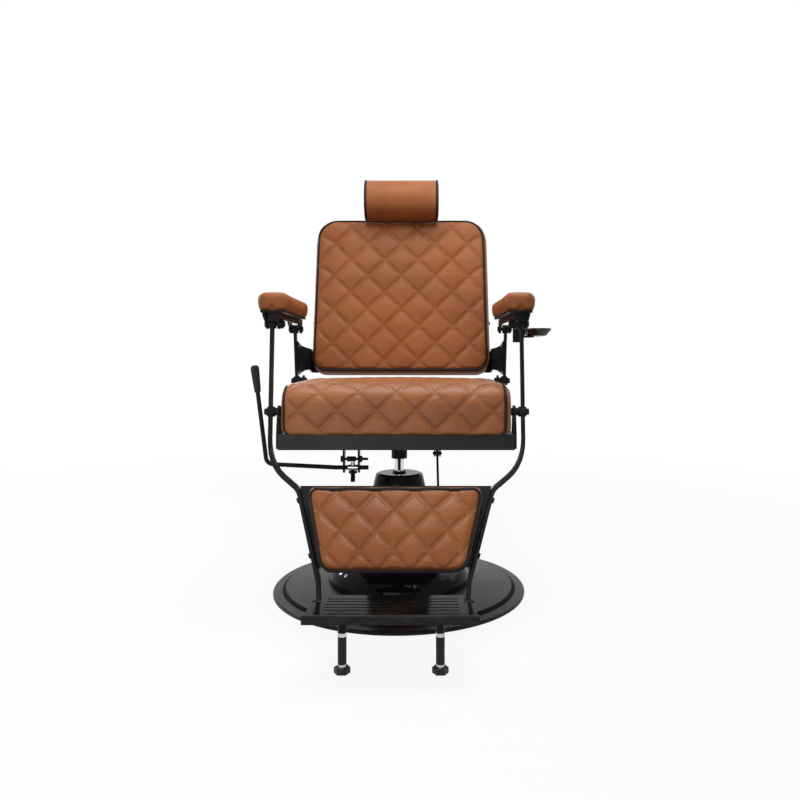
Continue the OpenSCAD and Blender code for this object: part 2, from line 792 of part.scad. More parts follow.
module headrest_cushion() {
  color([0.52, 0.31, 0.19]) at_back() translate([0, -2, head_u - head_h / 2]) rotate([90, 0, 0])
    pad(head_w, head_h, head_t - 5, near_r = head_h / 2 - 4, far_r = head_h / 2 - 4, near_steps = 2,
      face_steps = 2, side_r = 7, steps = 10, near_corner = 2, far_corner = 2, crown = 3, puff = 0);
}

module arm_frame(side) {
  plate_top = arm_plate_z + arm_plate_t;
  color([0.06, 0.06, 0.06]) on_side(side) difference() {
    union() {
      translate([arm_x - 31, arm_front_y + 8, arm_plate_z]) cube([62, arm_l - 16, arm_plate_t]);
      side_plate(arm_inner_x - 6, arm_inner_x) {
        polygon([[-241, arm_plate_z + 1], [120, arm_plate_z + 1], [120, 745], [94, 745], [70, 758],
          [-190, 758], [-209, 745], [-241, 749]]);
        for (at = [arm_front_pivot, arm_rear_pivot]) translate(at) circle(r = 13, $fn = 48);
      }
      side_plate(arm_outer_x, arm_outer_x + 4.5) for (at = [arm_front_pivot, arm_rear_pivot]) {
        polygon([[at[0] - 13, at[1]], [at[0] + 13, at[1]], [min(at[0] + 20, 120), arm_plate_z + 1],
          [at[0] - 50, arm_plate_z + 1], [at[0] - 50, arm_plate_z - 8]]);
        translate(at) circle(r = 13, $fn = 48);
      }
      translate([arm_inner_x - 1, -241, 750]) cube([arm_outer_x - arm_inner_x + 2, 4, arm_plate_z - 749.5]);
      x_pin(12, arm_front_pivot, arm_inner_x - 14, arm_inner_x - 5);
    }
    for (at = [arm_front_pivot, arm_rear_pivot]) x_pin(arm_pin_r + fit, at, 280, 340);
  }
}

module arm_pins(side) {
  color([0.6, 0.6, 0.62]) on_side(side) for (at = [arm_front_pivot, arm_rear_pivot]) {
    start = at[0] < 0 ? arm_inner_x - 18 : arm_inner_x - 10;
    x_hex(8, at, start, start + 3.9);
    x_pin(arm_pin_r, at, start, arm_outer_x + 5);
    x_pin(8.5, at, arm_outer_x + 4.7, arm_outer_x + 8);
  }
}

module arm_pad(side) {
  color([0.55, 0.33, 0.21]) on_side(side)
    translate([arm_x - arm_w / 2, arm_front_y + arm_l / 2, arm_plate_z + arm_plate_t + 0.2])
      rotate([0, 0, 90]) mirror([0, 1, 0])
        pad(arm_l, arm_w, arm_t - 3, near_r = 26, far_r = 26, near_steps = 2, face_steps = 3, side_r = 20,
          steps = 10, near_corner = 22, far_corner = 22, crown = 3, puff = 0);
}

module tray_bracket() {
  hanger_x = 334;
  color([0.06, 0.06, 0.06]) {
    translate([hanger_x, -150, tray_z - 4]) cube([4, 60, arm_plate_z - tray_z + 4]);
    translate([hanger_x, -150, tray_z - 4]) cube([28, 60, 4]);
    translate([hanger_x, -92, 740]) cube([4, 156, 12]);
    translate([hanger_x, 60, 704]) cube([26, 4, 52]);
    translate([326, -150, arm_plate_z - 4]) cube([12, 60, 3.9]);
  }
}

// Shallow dish with round ends: a flat floor, a flared wall and a rim
module tray() {
  color([0.1, 0.1, 0.1]) translate([373, -120, tray_z + 0.1]) difference() {
    hull() {
      linear_extrude(1) tray_outline(tray_half_w - 13, tray_half_l - 13);
      translate([0, 0, tray_h - 4]) linear_extrude(4) tray_outline(tray_half_w, tray_half_l);
    }
    hull() {
      translate([0, 0, 2.5]) linear_extrude(1) tray_outline(tray_half_w - 16, tray_half_l - 16);
      translate([0, 0, tray_h - 2]) linear_extrude(4) tray_outline(tray_half_w - 2.5, tray_half_l - 2.5);
    }
  }
}

// Oblong with round ends
module tray_outline(half_w, half_l) {
  for (y = [-half_l + half_w, half_l - half_w]) translate([0, y]) circle(r = half_w, $fn = 48);
  translate([-half_w, -half_l + half_w]) square([2 * half_w, 2 * (half_l - half_w)]);
}

module leg_bar(side) {
  top = arm_front_pivot;
  front_path = smooth([[link_x, top[1]], bar_shoulder, bar_knee, bar_ankle, [hinge_x, hinge_z]],
    [110, 40, 40]);
  side_path = smooth([top, leg_pivot, [-240, 440], leg_point(0, 285), [hinge_y, hinge_z]], [60, 80, 40]);
  color([0.16, 0.16, 0.16]) on_side(side) difference() {
    union() {
      intersection() {
        rotate([90, 0, 0]) translate([0, 0, 100]) linear_extrude(500)
          polygon(strip(front_path, bar_t));
        side_plate(100, 400) polygon(strip(side_path, bar_w));
      }
      x_pin(12, top, link_x - hub_half, link_x + hub_half);
      x_pin(13, leg_pivot, link_x - hub_half, link_x + hub_half);
      x_pin(13, [hinge_y, hinge_z], hinge_x - 8, hinge_x + 8);
    }
    x_pin(arm_pin_r + fit, top, link_x - 20, link_x + 20);
    x_pin(pivot_bolt_r + fit, leg_pivot, link_x - 20, link_x + 20);
    x_pin(hinge_pin_r + fit, [hinge_y, hinge_z], hinge_x - 20, hinge_x + 20);
  }
}

// X of a leg bar's centre line beside the point at u up the leg rest and out from its face
function leg_bar_x(out, u) = let (z = leg_point(out, u)[1])
  bar_ankle[0] + (bar_knee[0] - bar_ankle[0]) * (z - bar_ankle[1]) / (bar_knee[1] - bar_ankle[1]);

module calf_panel() {
  low = 84;
  high = 284;
  low_x = leg_bar_x(0, low) - panel_gap;
  high_x = leg_bar_x(0, high) - panel_gap;
  rib_low_x = leg_bar_x(0, low) - rib_gap;
  rib_high_x = leg_bar_x(0, high) - rib_gap;
  color([0.1, 0.1, 0.1]) {
    at_leg() {
      translate([0, 3, 0]) rotate([90, 0, 0]) linear_extrude(3)
        polygon([[-low_x, low], [low_x, low], [high_x, high], [-high_x, high]]);
      both_sides() translate([0, 20, 0]) rotate([90, 0, 0]) linear_extrude(18)
        polygon([[rib_low_x - 3, low], [rib_low_x, low], [rib_high_x, high], [rib_high_x - 3, high]]);
      both_sides() for (u = calf_bolt_u) translate([0, 6.5, u]) rotate([0, 90, 0])
        cylinder(r = 4, h = leg_bar_x(-6.5, u) - bar_t / 2 - 2.2, $fn = 24);
    }
    for (x = [strut_x - 9, strut_x + 5]) side_plate(x, x + 4) {
      polygon([leg_point(-2, 156), leg_point(-25, 161), leg_point(-25, 179), leg_point(-2, 184)]);
      translate(strut_foot()) circle(r = 9, $fn = 48);
    }
    x_pin(strut_pin_r, strut_foot(), strut_x - 12, strut_x + 12);
  }
}

module calf_cushion() {
  color([0.55, 0.33, 0.21]) at_leg() translate([0, -0.3, calf_low]) rotate([90, 0, 0])
    pad(calf_top_w, calf_h, calf_t - 5, near_r = 18, far_r = 18, near_steps = 1, face_steps = 9, side_r = 18,
      steps = 16, near_corner = 28, far_corner = 24, crown = 6, puff = 6, pitch = 95,
      run_pitch = 96, first = 73, taper = calf_bottom_w / calf_top_w, tuck = calf_tuck);
}

module calf_bolts() {
  slope = (bar_knee[0] - bar_ankle[0]) / (bar_knee[1] - bar_ankle[1]);
  color([0.15, 0.15, 0.15]) both_sides() for (u = calf_bolt_u)
    translate([leg_bar_x(0, u), leg_point(0, u)[0], leg_point(0, u)[1]]) rotate([0, 90 + atan(slope), 0])
      translate([0, 0, bar_t / 2]) cylinder(r = 7, h = 5, $fn = 6);
}

// Centre of each rounded corner of the front lip's section in the side view, and its first angle
lip_front = -foot_depth - 5 + lip_r;
lip_back = lip_front + 6;
lip_top = plate_z + plate_t - lip_r;
lip_low = lip_top - 12;
lip_corners = [[lip_front, lip_top, 90], [lip_front, lip_low, 180], [lip_back, lip_low, 270],
  [lip_back, lip_top, 0]];

module footplate() {
  color([0.14, 0.13, 0.12]) {
    at_plate() difference() {
      union() {
        translate([-foot_w / 2 + 4, -foot_depth + 6, plate_z]) cube([foot_w - 8, foot_depth - 68, plate_t]);
        translate([-154, -64, plate_z]) cube([308, 70, plate_t]);
        side_plate(-foot_w / 2, foot_w / 2) polygon([for (c = lip_corners) for (a = [c[2]:15:c[2] + 90])
          [c[0] + lip_r * cos(a), c[1] + lip_r * sin(a)]]);
        both_sides() side_plate(148, 154) {
          polygon([[-14, plate_z + 1], [-10, -3], [10, -3], [6, plate_z + 1]]);
          circle(r = 12, $fn = 48);
        }
      }
      for (i = [0:4]) translate([-140, -34 - 24 * i, plate_z + plate_t - 1.6]) cube([280, 7, 3]);
    }
    both_sides() {
      x_pin(hinge_pin_r, [hinge_y, hinge_z], 146, 178);
      x_hex(9, [hinge_y, hinge_z], hinge_x + 8.4, hinge_x + 14);
    }
  }
}

module foot_bosses() {
  color([0.1, 0.1, 0.1]) for (x = [-foot_spacing / 2, foot_spacing / 2]) difference() {
    translate([x, foot_y, 100]) cylinder(r = 9, h = 39, $fn = 48);
    translate([x, foot_y, 90]) cylinder(r = stud_r + fit, h = 45, $fn = 48);
  }
}

module foot_screw(side) {
  color([0.8, 0.8, 0.8]) translate([side * foot_spacing / 2, foot_y, 0]) {
    translate([0, 0, foot_pad_z + 4]) cylinder(r = stud_r, h = 131 - foot_pad_z - 4, $fn = 48);
    translate([0, 0, 92]) cylinder(r = 9.5, h = 7.7, $fn = 6);
    translate([0, 0, foot_pad_z + foot_hex_h + 0.1]) cylinder(r = 8.5, h = 7, $fn = 48);
  }
}

module foot_pad(side) {
  sleeve_z = foot_pad_z + foot_hex_h + 7.2;
  color([0.1, 0.1, 0.1]) translate([side * foot_spacing / 2, foot_y, 0]) difference() {
    union() {
      translate([0, 0, sleeve_z]) cylinder(r = sleeve_r, h = 91.8 - sleeve_z, $fn = 48);
      translate([0, 0, foot_pad_z]) cylinder(r = 17, h = foot_hex_h, $fn = 6);
    }
    translate([0, 0, foot_pad_z + 3.8]) cylinder(r = stud_r + 0.02, h = 100, $fn = 48);
  }
}

// Axes of the lever's crank: X along its rod, which rises a little outwards
module at_crank() {
  translate([crank_x, lever_y, lever_z]) rotate([0, crank_rise, 0]) children();
}

// Axes of the lever's upright rod, from the end of its bend
module at_lever() {
  at_crank()
    translate([-crank_l + lever_bend * (1 - cos(lever_lean)), 0, lever_bend * (1 - sin(lever_lean))])
    rotate([0, -lever_lean, 0]) children();
}

module recline_lever() {
  reach = 2 * lever_bend;
  color([0.08, 0.08, 0.08]) {
    x_pin(lever_r, [lever_y, lever_z], crank_x - 4, -79);
    at_crank() rotate([0, -90, 0]) cylinder(r = lever_r, h = crank_l - lever_bend + 0.6, $fn = 48);
    at_crank() translate([-crank_l + lever_bend, 0, lever_bend]) rotate([90, 0, 0]) intersection() {
      rotate_extrude($fn = 96) translate([lever_bend, 0]) circle(r = lever_r - 0.1, $fn = 48);
      translate([0, 0, -lever_r - 1]) linear_extrude(2 * lever_r + 2)
        polygon([[0, 0], [0, -reach], [-reach, -reach], [-reach, -reach * tan(lever_lean)]]);
    }
    at_lever() translate([0, 0, -0.6]) cylinder(r = lever_r, h = lever_rod_l + 0.6, $fn = 48);
    // Threaded stop stud that pins the collar
    translate([-121, lever_y, lever_z - 38]) {
      cylinder(r = 2.5, h = 38, $fn = 24);
      cylinder(r = 5.6, h = 26, $fn = 32);
      for (z = [0 : 4.5 : 18]) translate([0, 0, z]) cylinder(r = 6.4, h = 2.6, $fn = 32);
      translate([0, 0, 23]) cylinder(r = 11.5, h = 6, $fn = 6);
    }
  }
}

module lever_grip() {
  top = lever_rod_l;
  color([0.04, 0.04, 0.04]) at_lever() rotate_extrude($fn = 48) polygon([
    [lever_r + 0.02, grip_low], [7.8, grip_low], [8.8, grip_low + 6], [11.5, top + 22], [10.5, top + 29],
    [6, top + 33], [0, top + 33], [0, top + 0.1], [lever_r + 0.02, top + 0.1]
  ]);
}

module lever_collar() {
  color([0.75, 0.75, 0.75]) difference() {
    union() {
      x_pin(collar_r, [lever_y, lever_z], -134, -108);
      translate([-121, lever_y, lever_z]) cylinder(r = 5.5, h = 14, $fn = 32);
    }
    x_pin(lever_r + 0.02, [lever_y, lever_z], -140, -100);
    translate([-121, lever_y, lever_z - 20]) cylinder(r = 2.52, h = 20, $fn = 24);
  }
}

module strut_rod() {
  color([0.7, 0.7, 0.72]) difference() {
    union() {
      x_pin(8, strut_top, strut_x - 4, strut_x + 4);
      at_strut() translate([0, 0, 6]) cylinder(r = strut_rod_r, h = 222, $fn = 32);
    }
    x_pin(strut_pin_r + fit, strut_top, strut_x - 20, strut_x + 20);
  }
}

module strut_cylinder() {
  color([0.06, 0.06, 0.06]) difference() {
    union() {
      at_strut() translate([0, 0, 140]) cylinder(r = strut_r, h = 104, $fn = 48);
      at_strut() translate([0, 0, 240]) cylinder(r = 3.8, h = 10, $fn = 32);
      x_pin(12, strut_foot(), strut_x - 4, strut_x + 4);
    }
    at_strut() translate([0, 0, 130]) cylinder(r = strut_rod_r + fit, h = 104, $fn = 32);
    at_strut() translate([0, 0, 150]) cylinder(r = 8, h = 82, $fn = 32);
    x_pin(7.1, strut_foot(), strut_x - 20, strut_x + 20);
  }
}

base_plate();
floor_mat();
base_dome();
pump_cylinder();
cylinder_gland();
pump_bolts();
column_cover();
wiper_ring();
pedal_bracket();
pedal_arm();
pedal_pad();
piston_rod();
piston_head();
swivel_hub();
hub_bolts();
cross_rails();
front_rail();
rear_rail();
side_rail(-1);  // side_rail_left
side_rail(1);  // side_rail_right
front_brackets();
rear_brackets();
frame_pivots();
seat_board();
seat_cushion();
lever_bracket();
strut_bracket();
back_board();
back_cushion();
back_cover();
back_bracket(-1);  // back_bracket_left
back_bracket(1);  // back_bracket_right
headrest_sockets();
headrest_bars();
headrest_core();
headrest_cushion();
arm_frame(-1);  // arm_frame_left
arm_frame(1);  // arm_frame_right
arm_pins(-1);  // arm_pins_left
arm_pins(1);  // arm_pins_right
arm_pad(-1);  // arm_pad_left
arm_pad(1);  // arm_pad_right
tray_bracket();
tray();
leg_bar(-1);  // leg_bar_left
leg_bar(1);  // leg_bar_right
calf_panel();
calf_cushion();
calf_bolts();
footplate();
foot_bosses();
foot_screw(-1);  // foot_screw_left
foot_screw(1);  // foot_screw_right
foot_pad(-1);  // foot_pad_left
foot_pad(1);  // foot_pad_right
recline_lever();
lever_grip();
lever_collar();
strut_rod();
strut_cylinder();
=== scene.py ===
import itertools
import json
import math

import bmesh
import bpy
import numpy as np
from mathutils import Matrix, Vector
from mathutils.bvhtree import BVHTree

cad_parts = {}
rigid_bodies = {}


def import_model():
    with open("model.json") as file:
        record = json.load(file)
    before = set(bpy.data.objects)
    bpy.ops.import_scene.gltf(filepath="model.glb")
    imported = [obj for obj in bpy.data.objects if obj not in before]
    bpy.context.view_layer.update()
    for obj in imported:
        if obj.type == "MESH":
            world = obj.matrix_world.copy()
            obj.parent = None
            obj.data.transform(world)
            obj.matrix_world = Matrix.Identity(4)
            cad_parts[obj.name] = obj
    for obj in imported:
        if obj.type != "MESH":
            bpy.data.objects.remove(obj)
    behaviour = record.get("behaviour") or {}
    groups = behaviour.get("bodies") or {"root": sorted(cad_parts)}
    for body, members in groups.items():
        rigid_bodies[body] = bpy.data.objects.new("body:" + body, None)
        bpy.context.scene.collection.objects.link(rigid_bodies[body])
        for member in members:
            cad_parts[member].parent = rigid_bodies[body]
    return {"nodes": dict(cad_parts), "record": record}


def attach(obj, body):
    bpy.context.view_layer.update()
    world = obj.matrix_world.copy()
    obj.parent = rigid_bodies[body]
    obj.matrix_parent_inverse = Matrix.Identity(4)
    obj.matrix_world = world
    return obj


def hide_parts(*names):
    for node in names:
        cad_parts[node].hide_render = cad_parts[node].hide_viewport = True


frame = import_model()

for spare in [thing for thing in bpy.data.objects if thing.name in ("Cube", "Light", "Camera")]:
    bpy.data.objects.remove(spare)
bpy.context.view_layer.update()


def addObject(name, data):
    thing = bpy.data.objects.new(name, data)
    bpy.context.scene.collection.objects.link(thing)
    return thing


def addMesh(name, verts, edges, faces):
    mesh = bpy.data.meshes.new(name)
    mesh.from_pydata(verts, edges, faces)
    return mesh


# camera

camera = {
    "place": (0.0565, -2.01, 0.659),  # metres, chair's own axes
    "frame": 800,  # pixels
    "focal": 700.0,  # pixels
    "aside": 19.0,  # pixels of the vanishing point right of the middle of the frame
    "horizon": 42.4,  # pixels above the middle of the frame
    "sensor": 36,  # millimetres
}


def makeCamera():
    lens = bpy.data.cameras.new("chairCamera")
    lens.sensor_width = camera["sensor"]
    lens.lens = camera["sensor"] * camera["focal"] / camera["frame"]
    lens.shift_x = -camera["aside"] / camera["frame"]
    lens.shift_y = -camera["horizon"] / camera["frame"]
    lens.clip_start = 0.05
    holder = addObject("chairCamera", lens)
    holder.matrix_world = Matrix.Translation(camera["place"]) @ Matrix.Rotation(math.radians(90), 4, "X")
    bpy.context.scene.camera = holder
    bpy.context.scene.view_settings.view_transform = "Standard"


makeCamera()

# nodes


def fill(tree, sockets, values):
    # each socket takes a node's first output, an output or a plain value
    for label, value in values.items():
        if isinstance(value, bpy.types.Node):
            value = value.outputs[0]
        if isinstance(value, bpy.types.NodeSocket):
            tree.links.new(value, sockets[label])
        elif value is not None:
            sockets[label].default_value = value


def addNode(tree, kind, inputs=None, **settings):
    # a kind that doesn't name its family is one of the tree's own
    node = tree.nodes.new(kind if "Node" in kind else tree.bl_idname.removesuffix("Tree") + kind)
    for label, value in settings.items():
        setattr(node, label, value)
    fill(tree, node.inputs, inputs or {})
    return node


def newTree(name, inputs, *outputs):
    # inputs: name and default, whose type tells the kind of socket
    shape = "Geometry" in outputs
    tree = bpy.data.node_groups.new(name, "GeometryNodeTree" if shape else "ShaderNodeTree")
    if shape:
        tree.interface.new_socket("Geometry", in_out="INPUT", socket_type="NodeSocketGeometry")
    kinds = {float: "Float", int: "Int", type(None): "Material"}
    for label, default in inputs.items():
        kind = "NodeSocket" + kinds[type(default)]
        socket = tree.interface.new_socket(label, in_out="INPUT", socket_type=kind)
        if default is not None:
            socket.default_value = default
    for label in outputs:
        kind = "NodeSocket" + {"Normal": "Vector", "Geometry": "Geometry"}.get(label, "Float")
        tree.interface.new_socket(label, in_out="OUTPUT", socket_type=kind)
    given = tree.nodes.new("NodeGroupInput")
    result = tree.nodes.new("NodeGroupOutput")
    return tree, given.outputs, result.inputs


def addMath(tree, operation, *values):
    return addNode(tree, "ShaderNodeMath", dict(enumerate(values)), operation=operation)


def addProduct(tree, first, second):
    return addMath(tree, "MULTIPLY", first, second)


def addRange(tree, value, fromMin, fromMax, toMin=0.0, toMax=1.0, smooth=True):
    inputs = {"Value": value, "From Min": fromMin, "From Max": fromMax, "To Min": toMin, "To Max": toMax}
    return addNode(tree, "MapRange", inputs,
                   interpolation_type="SMOOTHSTEP" if smooth else "LINEAR")


def objectPlace(tree):
    return addNode(tree, "TexCoord").outputs["Object"]


def addNoise(tree, scale, detail=3.0, roughness=0.55, stretch=None):
    place = objectPlace(tree)
    if stretch:
        place = addNode(tree, "Mapping", {"Vector": place, "Scale": stretch})
    return addNode(tree, "TexNoise", {
        "Vector": place, "Scale": scale, "Detail": detail, "Roughness": roughness}).outputs["Fac"]


def addDot(tree, first, second):
    return addNode(tree, "VectorMath", {0: first, 1: second}, operation="DOT_PRODUCT").outputs["Value"]


def addUpward(tree):
    # 1 where a face looks straight up
    normal = addNode(tree, "NewGeometry").outputs["Normal"]
    return addNode(tree, "SeparateXYZ", {0: normal}).outputs["Z"]


def mixColour(tree, factor, first, second):
    first, second = ((*value, 1) if isinstance(value, tuple) else value for value in (first, second))
    return addNode(tree, "Mix", {0: factor, 6: first, 7: second}, data_type="RGBA").outputs[2]


def seenDirectly(tree):
    # 1 for what the camera, a reflection or a refraction sees
    path = addNode(tree, "LightPath").outputs
    first = addMath(tree, "MAXIMUM", path["Is Camera Ray"], path["Is Glossy Ray"])
    return addMath(tree, "MAXIMUM", first, path["Is Transmission Ray"])


# light and floor

studio = {
    "ambient": 0.15,
    "lamps": {  # place, aim, size, power
        "topLamp": ((0.1, -0.55, 2.1), (0, 0, 0.6), 1.2, 23.0),
        "frontLamp": ((-0.4, -2.3, 0.5), (0, -0.1, 0.6), 1.0, 10.0),
        "rimLamp": ((1.9, 1.2, 1.9), (0, 0.1, 0.7), 1.2, 7.0)},
    "sparkPower": 2.4, "sparkSize": 0.11, "sparkAim": (0, -0.1, 0.2),
    "sparkPlaces": ((-1.0, -1.5, 1.9), (-1.6, 1.0, 1.3), (-1.9, 0.4, 1.2), (-1.2, 1.4, 1.6),
                    (-1.8, -0.3, 0.9), (-1.5, 1.3, 1.0), (-0.9, 1.7, 1.4), (1.7, 0.9, 1.3)),
    "floorSize": 14.0, "floorGlow": 0.90, "floorBounce": 0.08, "shadowReach": (0.8, 3.2),
}


def addLamp(name, place, aim, size, power):
    light = bpy.data.lights.new(name, "AREA")
    light.shape = "SQUARE"
    light.size = size
    light.energy = power
    lamp = addObject(name, light)
    lamp.location = place
    lamp.rotation_euler = (Vector(aim) - Vector(place)).to_track_quat("-Z", "Y").to_euler()


def lightWorld():
    world = bpy.data.worlds.new("studioWorld")
    bpy.context.scene.world = world
    world.use_nodes = True
    tree = world.node_tree
    tree.nodes.clear()
    strength = addRange(tree, seenDirectly(tree), 0, 1, studio["ambient"], 1.0, False)
    glow = addNode(tree, "Background", {"Color": (1, 1, 1, 1), "Strength": strength})
    addNode(tree, "OutputWorld", {"Surface": glow})


def layFloor():
    half = studio["floorSize"] / 2
    corners = [(-half, -half, 0), (half, -half, 0), (half, half, 0), (-half, half, 0)]
    floor = addObject("studioFloor", addMesh("studioFloor", corners, [], [(0, 1, 2, 3)]))
    paper = bpy.data.materials.new("studioPaper")
    paper.use_nodes = True
    tree = paper.node_tree
    tree.nodes.clear()
    seen = seenDirectly(tree)
    matt = addNode(tree, "BsdfDiffuse", {
        "Color": addRange(tree, seen, 0, 1, studio["floorBounce"], 1.0, False)})
    glow = addNode(tree, "Emission", {"Color": (1, 1, 1, 1)})
    # the shadow fades out before the horizon, where the floor meets the white world
    away = addNode(tree, "VectorMath", {0: objectPlace(tree)}, operation="LENGTH").outputs["Value"]
    share = addRange(tree, away, *studio["shadowReach"], studio["floorGlow"])
    blend = addNode(tree, "MixShader", {0: addProduct(tree, seen, share), 1: matt, 2: glow})
    addNode(tree, "OutputMaterial", {"Surface": blend})
    floor.data.materials.append(paper)


for lampName, lampValues in studio["lamps"].items():
    addLamp(lampName, *lampValues)
for i, sparkPlace in enumerate(studio["sparkPlaces"]):
    addLamp("sparkLamp%d" % i, sparkPlace, studio["sparkAim"], studio["sparkSize"], studio["sparkPower"])
lightWorld()
layFloor()
print("camera, lamps and floor ready")

# shader node groups


def makeLeatherGroup():
    # pebbled grain, soft tone changes and pores for leather
    tree, given, result = newTree("leatherGrain", {"Grain Scale": 620.0, "Tone Scale": 7.0},
                                  "Height", "Tone", "Pores")
    cells = addNode(tree, "TexVoronoi", {
        "Vector": objectPlace(tree), "Scale": given["Grain Scale"], "Smoothness": 0.7},
        feature="SMOOTH_F1").outputs["Distance"]
    height = addMath(tree, "MULTIPLY_ADD", addNoise(tree, 1500.0, 2.0), 0.35, cells)
    height = addMath(tree, "MULTIPLY_ADD", addNoise(tree, 38.0, 4.0, 0.6), 0.8, height)
    tone = addRange(tree, addNoise(tree, given["Tone Scale"], 5.0, 0.62), 0.3, 0.72)
    fill(tree, result, {"Height": height, "Tone": tone, "Pores": addRange(tree, cells, 0.25, 0.6)})
    return tree


def makePuckerGroup():
    # short folds where the leather is pulled in by a seam
    tree, given, result = newTree("seamPucker", {"Pull": 0.0, "Fold Scale": 85.0}, "Height")
    ridges = addRange(tree, addNoise(tree, given["Fold Scale"], 3.0, 0.5), 0.35, 0.65)
    fill(tree, result, {"Height": addProduct(tree, ridges, given["Pull"])})
    return tree


def makeWearGroup():
    # 1 on convex edges, broken up by noise, with the rounded normal that goes with them
    tree, given, result = newTree("edgeWear", {
        "Edge Radius": 0.0012, "Patch Scale": 60.0, "Amount": 0.5}, "Mask", "Normal")
    rounded = addNode(tree, "Bevel", {"Radius": given["Edge Radius"]}, samples=4)
    flat = addNode(tree, "NewGeometry").outputs["Normal"]
    edge = addRange(tree, addDot(tree, rounded, flat), 0.995, 0.86)
    patches = addRange(tree, addNoise(tree, given["Patch Scale"], 5.0, 0.65), 0.42, 0.68)
    worn = addProduct(tree, edge, patches)
    fill(tree, result, {"Mask": addProduct(tree, worn, given["Amount"]), "Normal": rounded})
    return tree


def makeDustGroup():
    # thin dust that settles on faces that look up
    tree, given, result = newTree("settledDust", {"Amount": 0.3, "Patch Scale": 9.0}, "Mask")
    cloud = addNoise(tree, given["Patch Scale"], 6.0, 0.62)
    speck = addRange(tree, addNoise(tree, 420.0, 2.0), 0.5, 0.75, 0.25)
    settled = addProduct(tree, addRange(tree, addUpward(tree), 0.35, 0.95), cloud)
    film = addProduct(tree, settled, speck)
    fill(tree, result, {"Mask": addProduct(tree, film, given["Amount"])})
    return tree


def makeCoatGroup():
    # orange peel of a sprayed or powder coat, with fine specks
    tree, given, result = newTree("sprayedCoat", {"Peel Scale": 260.0, "Speck Scale": 1400.0},
                                  "Height", "Tone")
    peel = addNoise(tree, given["Peel Scale"], 2.0, 0.5)
    speck = addNoise(tree, given["Speck Scale"], 1.0, 0.5)
    fill(tree, result, {"Height": addMath(tree, "MULTIPLY_ADD", speck, 0.25, peel),
                        "Tone": addRange(tree, addNoise(tree, 11.0, 5.0, 0.6), 0.35, 0.7)})
    return tree


leatherGrain = makeLeatherGroup()
seamPucker = makePuckerGroup()
edgeWear = makeWearGroup()
settledDust = makeDustGroup()
sprayedCoat = makeCoatGroup()

# materials

dustColour = (0.42, 0.40, 0.37)


def startMaterial(name, roughness, specular=0.5, metallic=0.0):
    material = bpy.data.materials.new(name)
    material.use_nodes = True
    shader = material.node_tree.nodes["Principled BSDF"].inputs
    fill(None, shader, {"Roughness": roughness, "Specular IOR Level": specular, "Metallic": metallic})
    return material, material.node_tree, shader


def useGroup(tree, group, values):
    return addNode(tree, "Group", values, node_tree=group).outputs


def addBump(tree, height, distance, normal=None):
    return addNode(tree, "Bump", {
        "Height": height, "Distance": distance, "Strength": 1.0, "Normal": normal})


def shade(colour, factor):
    return tuple(part * factor for part in colour)


def readAttribute(tree, label):
    return addNode(tree, "Attribute", attribute_name=label).outputs["Fac"]


def leatherFinish(name, dark, light, rough, specular, grain=640.0, bump=0.0002, crease=0, pucker=0,
                  shine=None):
    material, tree, shader = startMaterial(name, 0.5, specular)
    hide = useGroup(tree, leatherGrain, {"Grain Scale": grain, "Tone Scale": 6.5})
    colour = mixColour(tree, hide["Tone"], dark, light)
    colour = mixColour(tree, addProduct(tree, hide["Pores"], 0.16), colour, shade(dark, 0.55))
    normal = None
    if crease:  # sewn leather: painted shade darkens the seams and the tuck beside the piping, with folds beside them
        paintedSeamShade = addProduct(tree, readAttribute(tree, "crease"), crease)
        colour = mixColour(tree, paintedSeamShade, colour, shade(dark, 0.42))
        folds = useGroup(tree, seamPucker, {"Pull": readAttribute(tree, "pull")})
        normal = addBump(tree, folds["Height"], pucker)
    if shine:  # faces that look up are rubbed
        coat = addRange(tree, addUpward(tree), 0.5, 1.0, *shine)
        fill(tree, shader, {"Coat Weight": coat, "Coat Roughness": 0.38})
    dull = addRange(tree, hide["Tone"], 0.0, 1.0, *rough, False)
    fill(tree, shader, {"Base Color": colour, "Roughness": dull,
                        "Normal": addBump(tree, hide["Height"], bump, normal)})
    return material


def coatedFinish(name, dark, light, worn, rough, specular=0.25, peel=700.0, bump=0.0003, edge=0.001,
                 wear=0.2, dust=0.03, patches=()):
    # paint or powder on metal, or moulded plastic
    material, tree, shader = startMaterial(name, 0.4, specular)
    coat = useGroup(tree, sprayedCoat, {"Peel Scale": peel})
    rubbed = useGroup(tree, edgeWear, {"Edge Radius": edge, "Amount": wear})
    film = useGroup(tree, settledDust, {"Amount": dust})["Mask"]
    colour = mixColour(tree, coat["Tone"], dark, light)
    colour = mixColour(tree, rubbed["Mask"], colour, worn)
    colour = mixColour(tree, film, colour, dustColour)
    dull = addRange(tree, coat["Tone"], 0.0, 1.0, *rough, False)
    dull = addMath(tree, "MULTIPLY_ADD", film, 0.5, dull)
    for findPatch, tint, dullness in patches:
        patch = findPatch(tree)
        colour = mixColour(tree, patch, colour, tint)
        dull = addMath(tree, "MULTIPLY_ADD", patch, dullness, dull)
    fill(tree, shader, {"Base Color": colour, "Roughness": dull,
                        "Normal": addBump(tree, coat["Height"], bump, rubbed["Normal"])})
    return material


discStep = {"inner": 0.3195, "outer": 0.3290, "soft": 0.0015}
plateMarks = {"hinge": (0, -0.465, 0.1135), "tilt": 5.9, "grooveLow": 0.0170, "grooveHigh": 0.0186,
              "grooveHalf": 0.141, "lip": -0.160, "lipSoft": 0.002, "soft": 0.0006}


def addBand(tree, value, low, high, soft):
    # 1 between low and high
    rise = addRange(tree, value, low - soft, low + soft)
    fall = addRange(tree, value, high - soft, high + soft, 1.0, 0.0)
    return addProduct(tree, rise, fall)


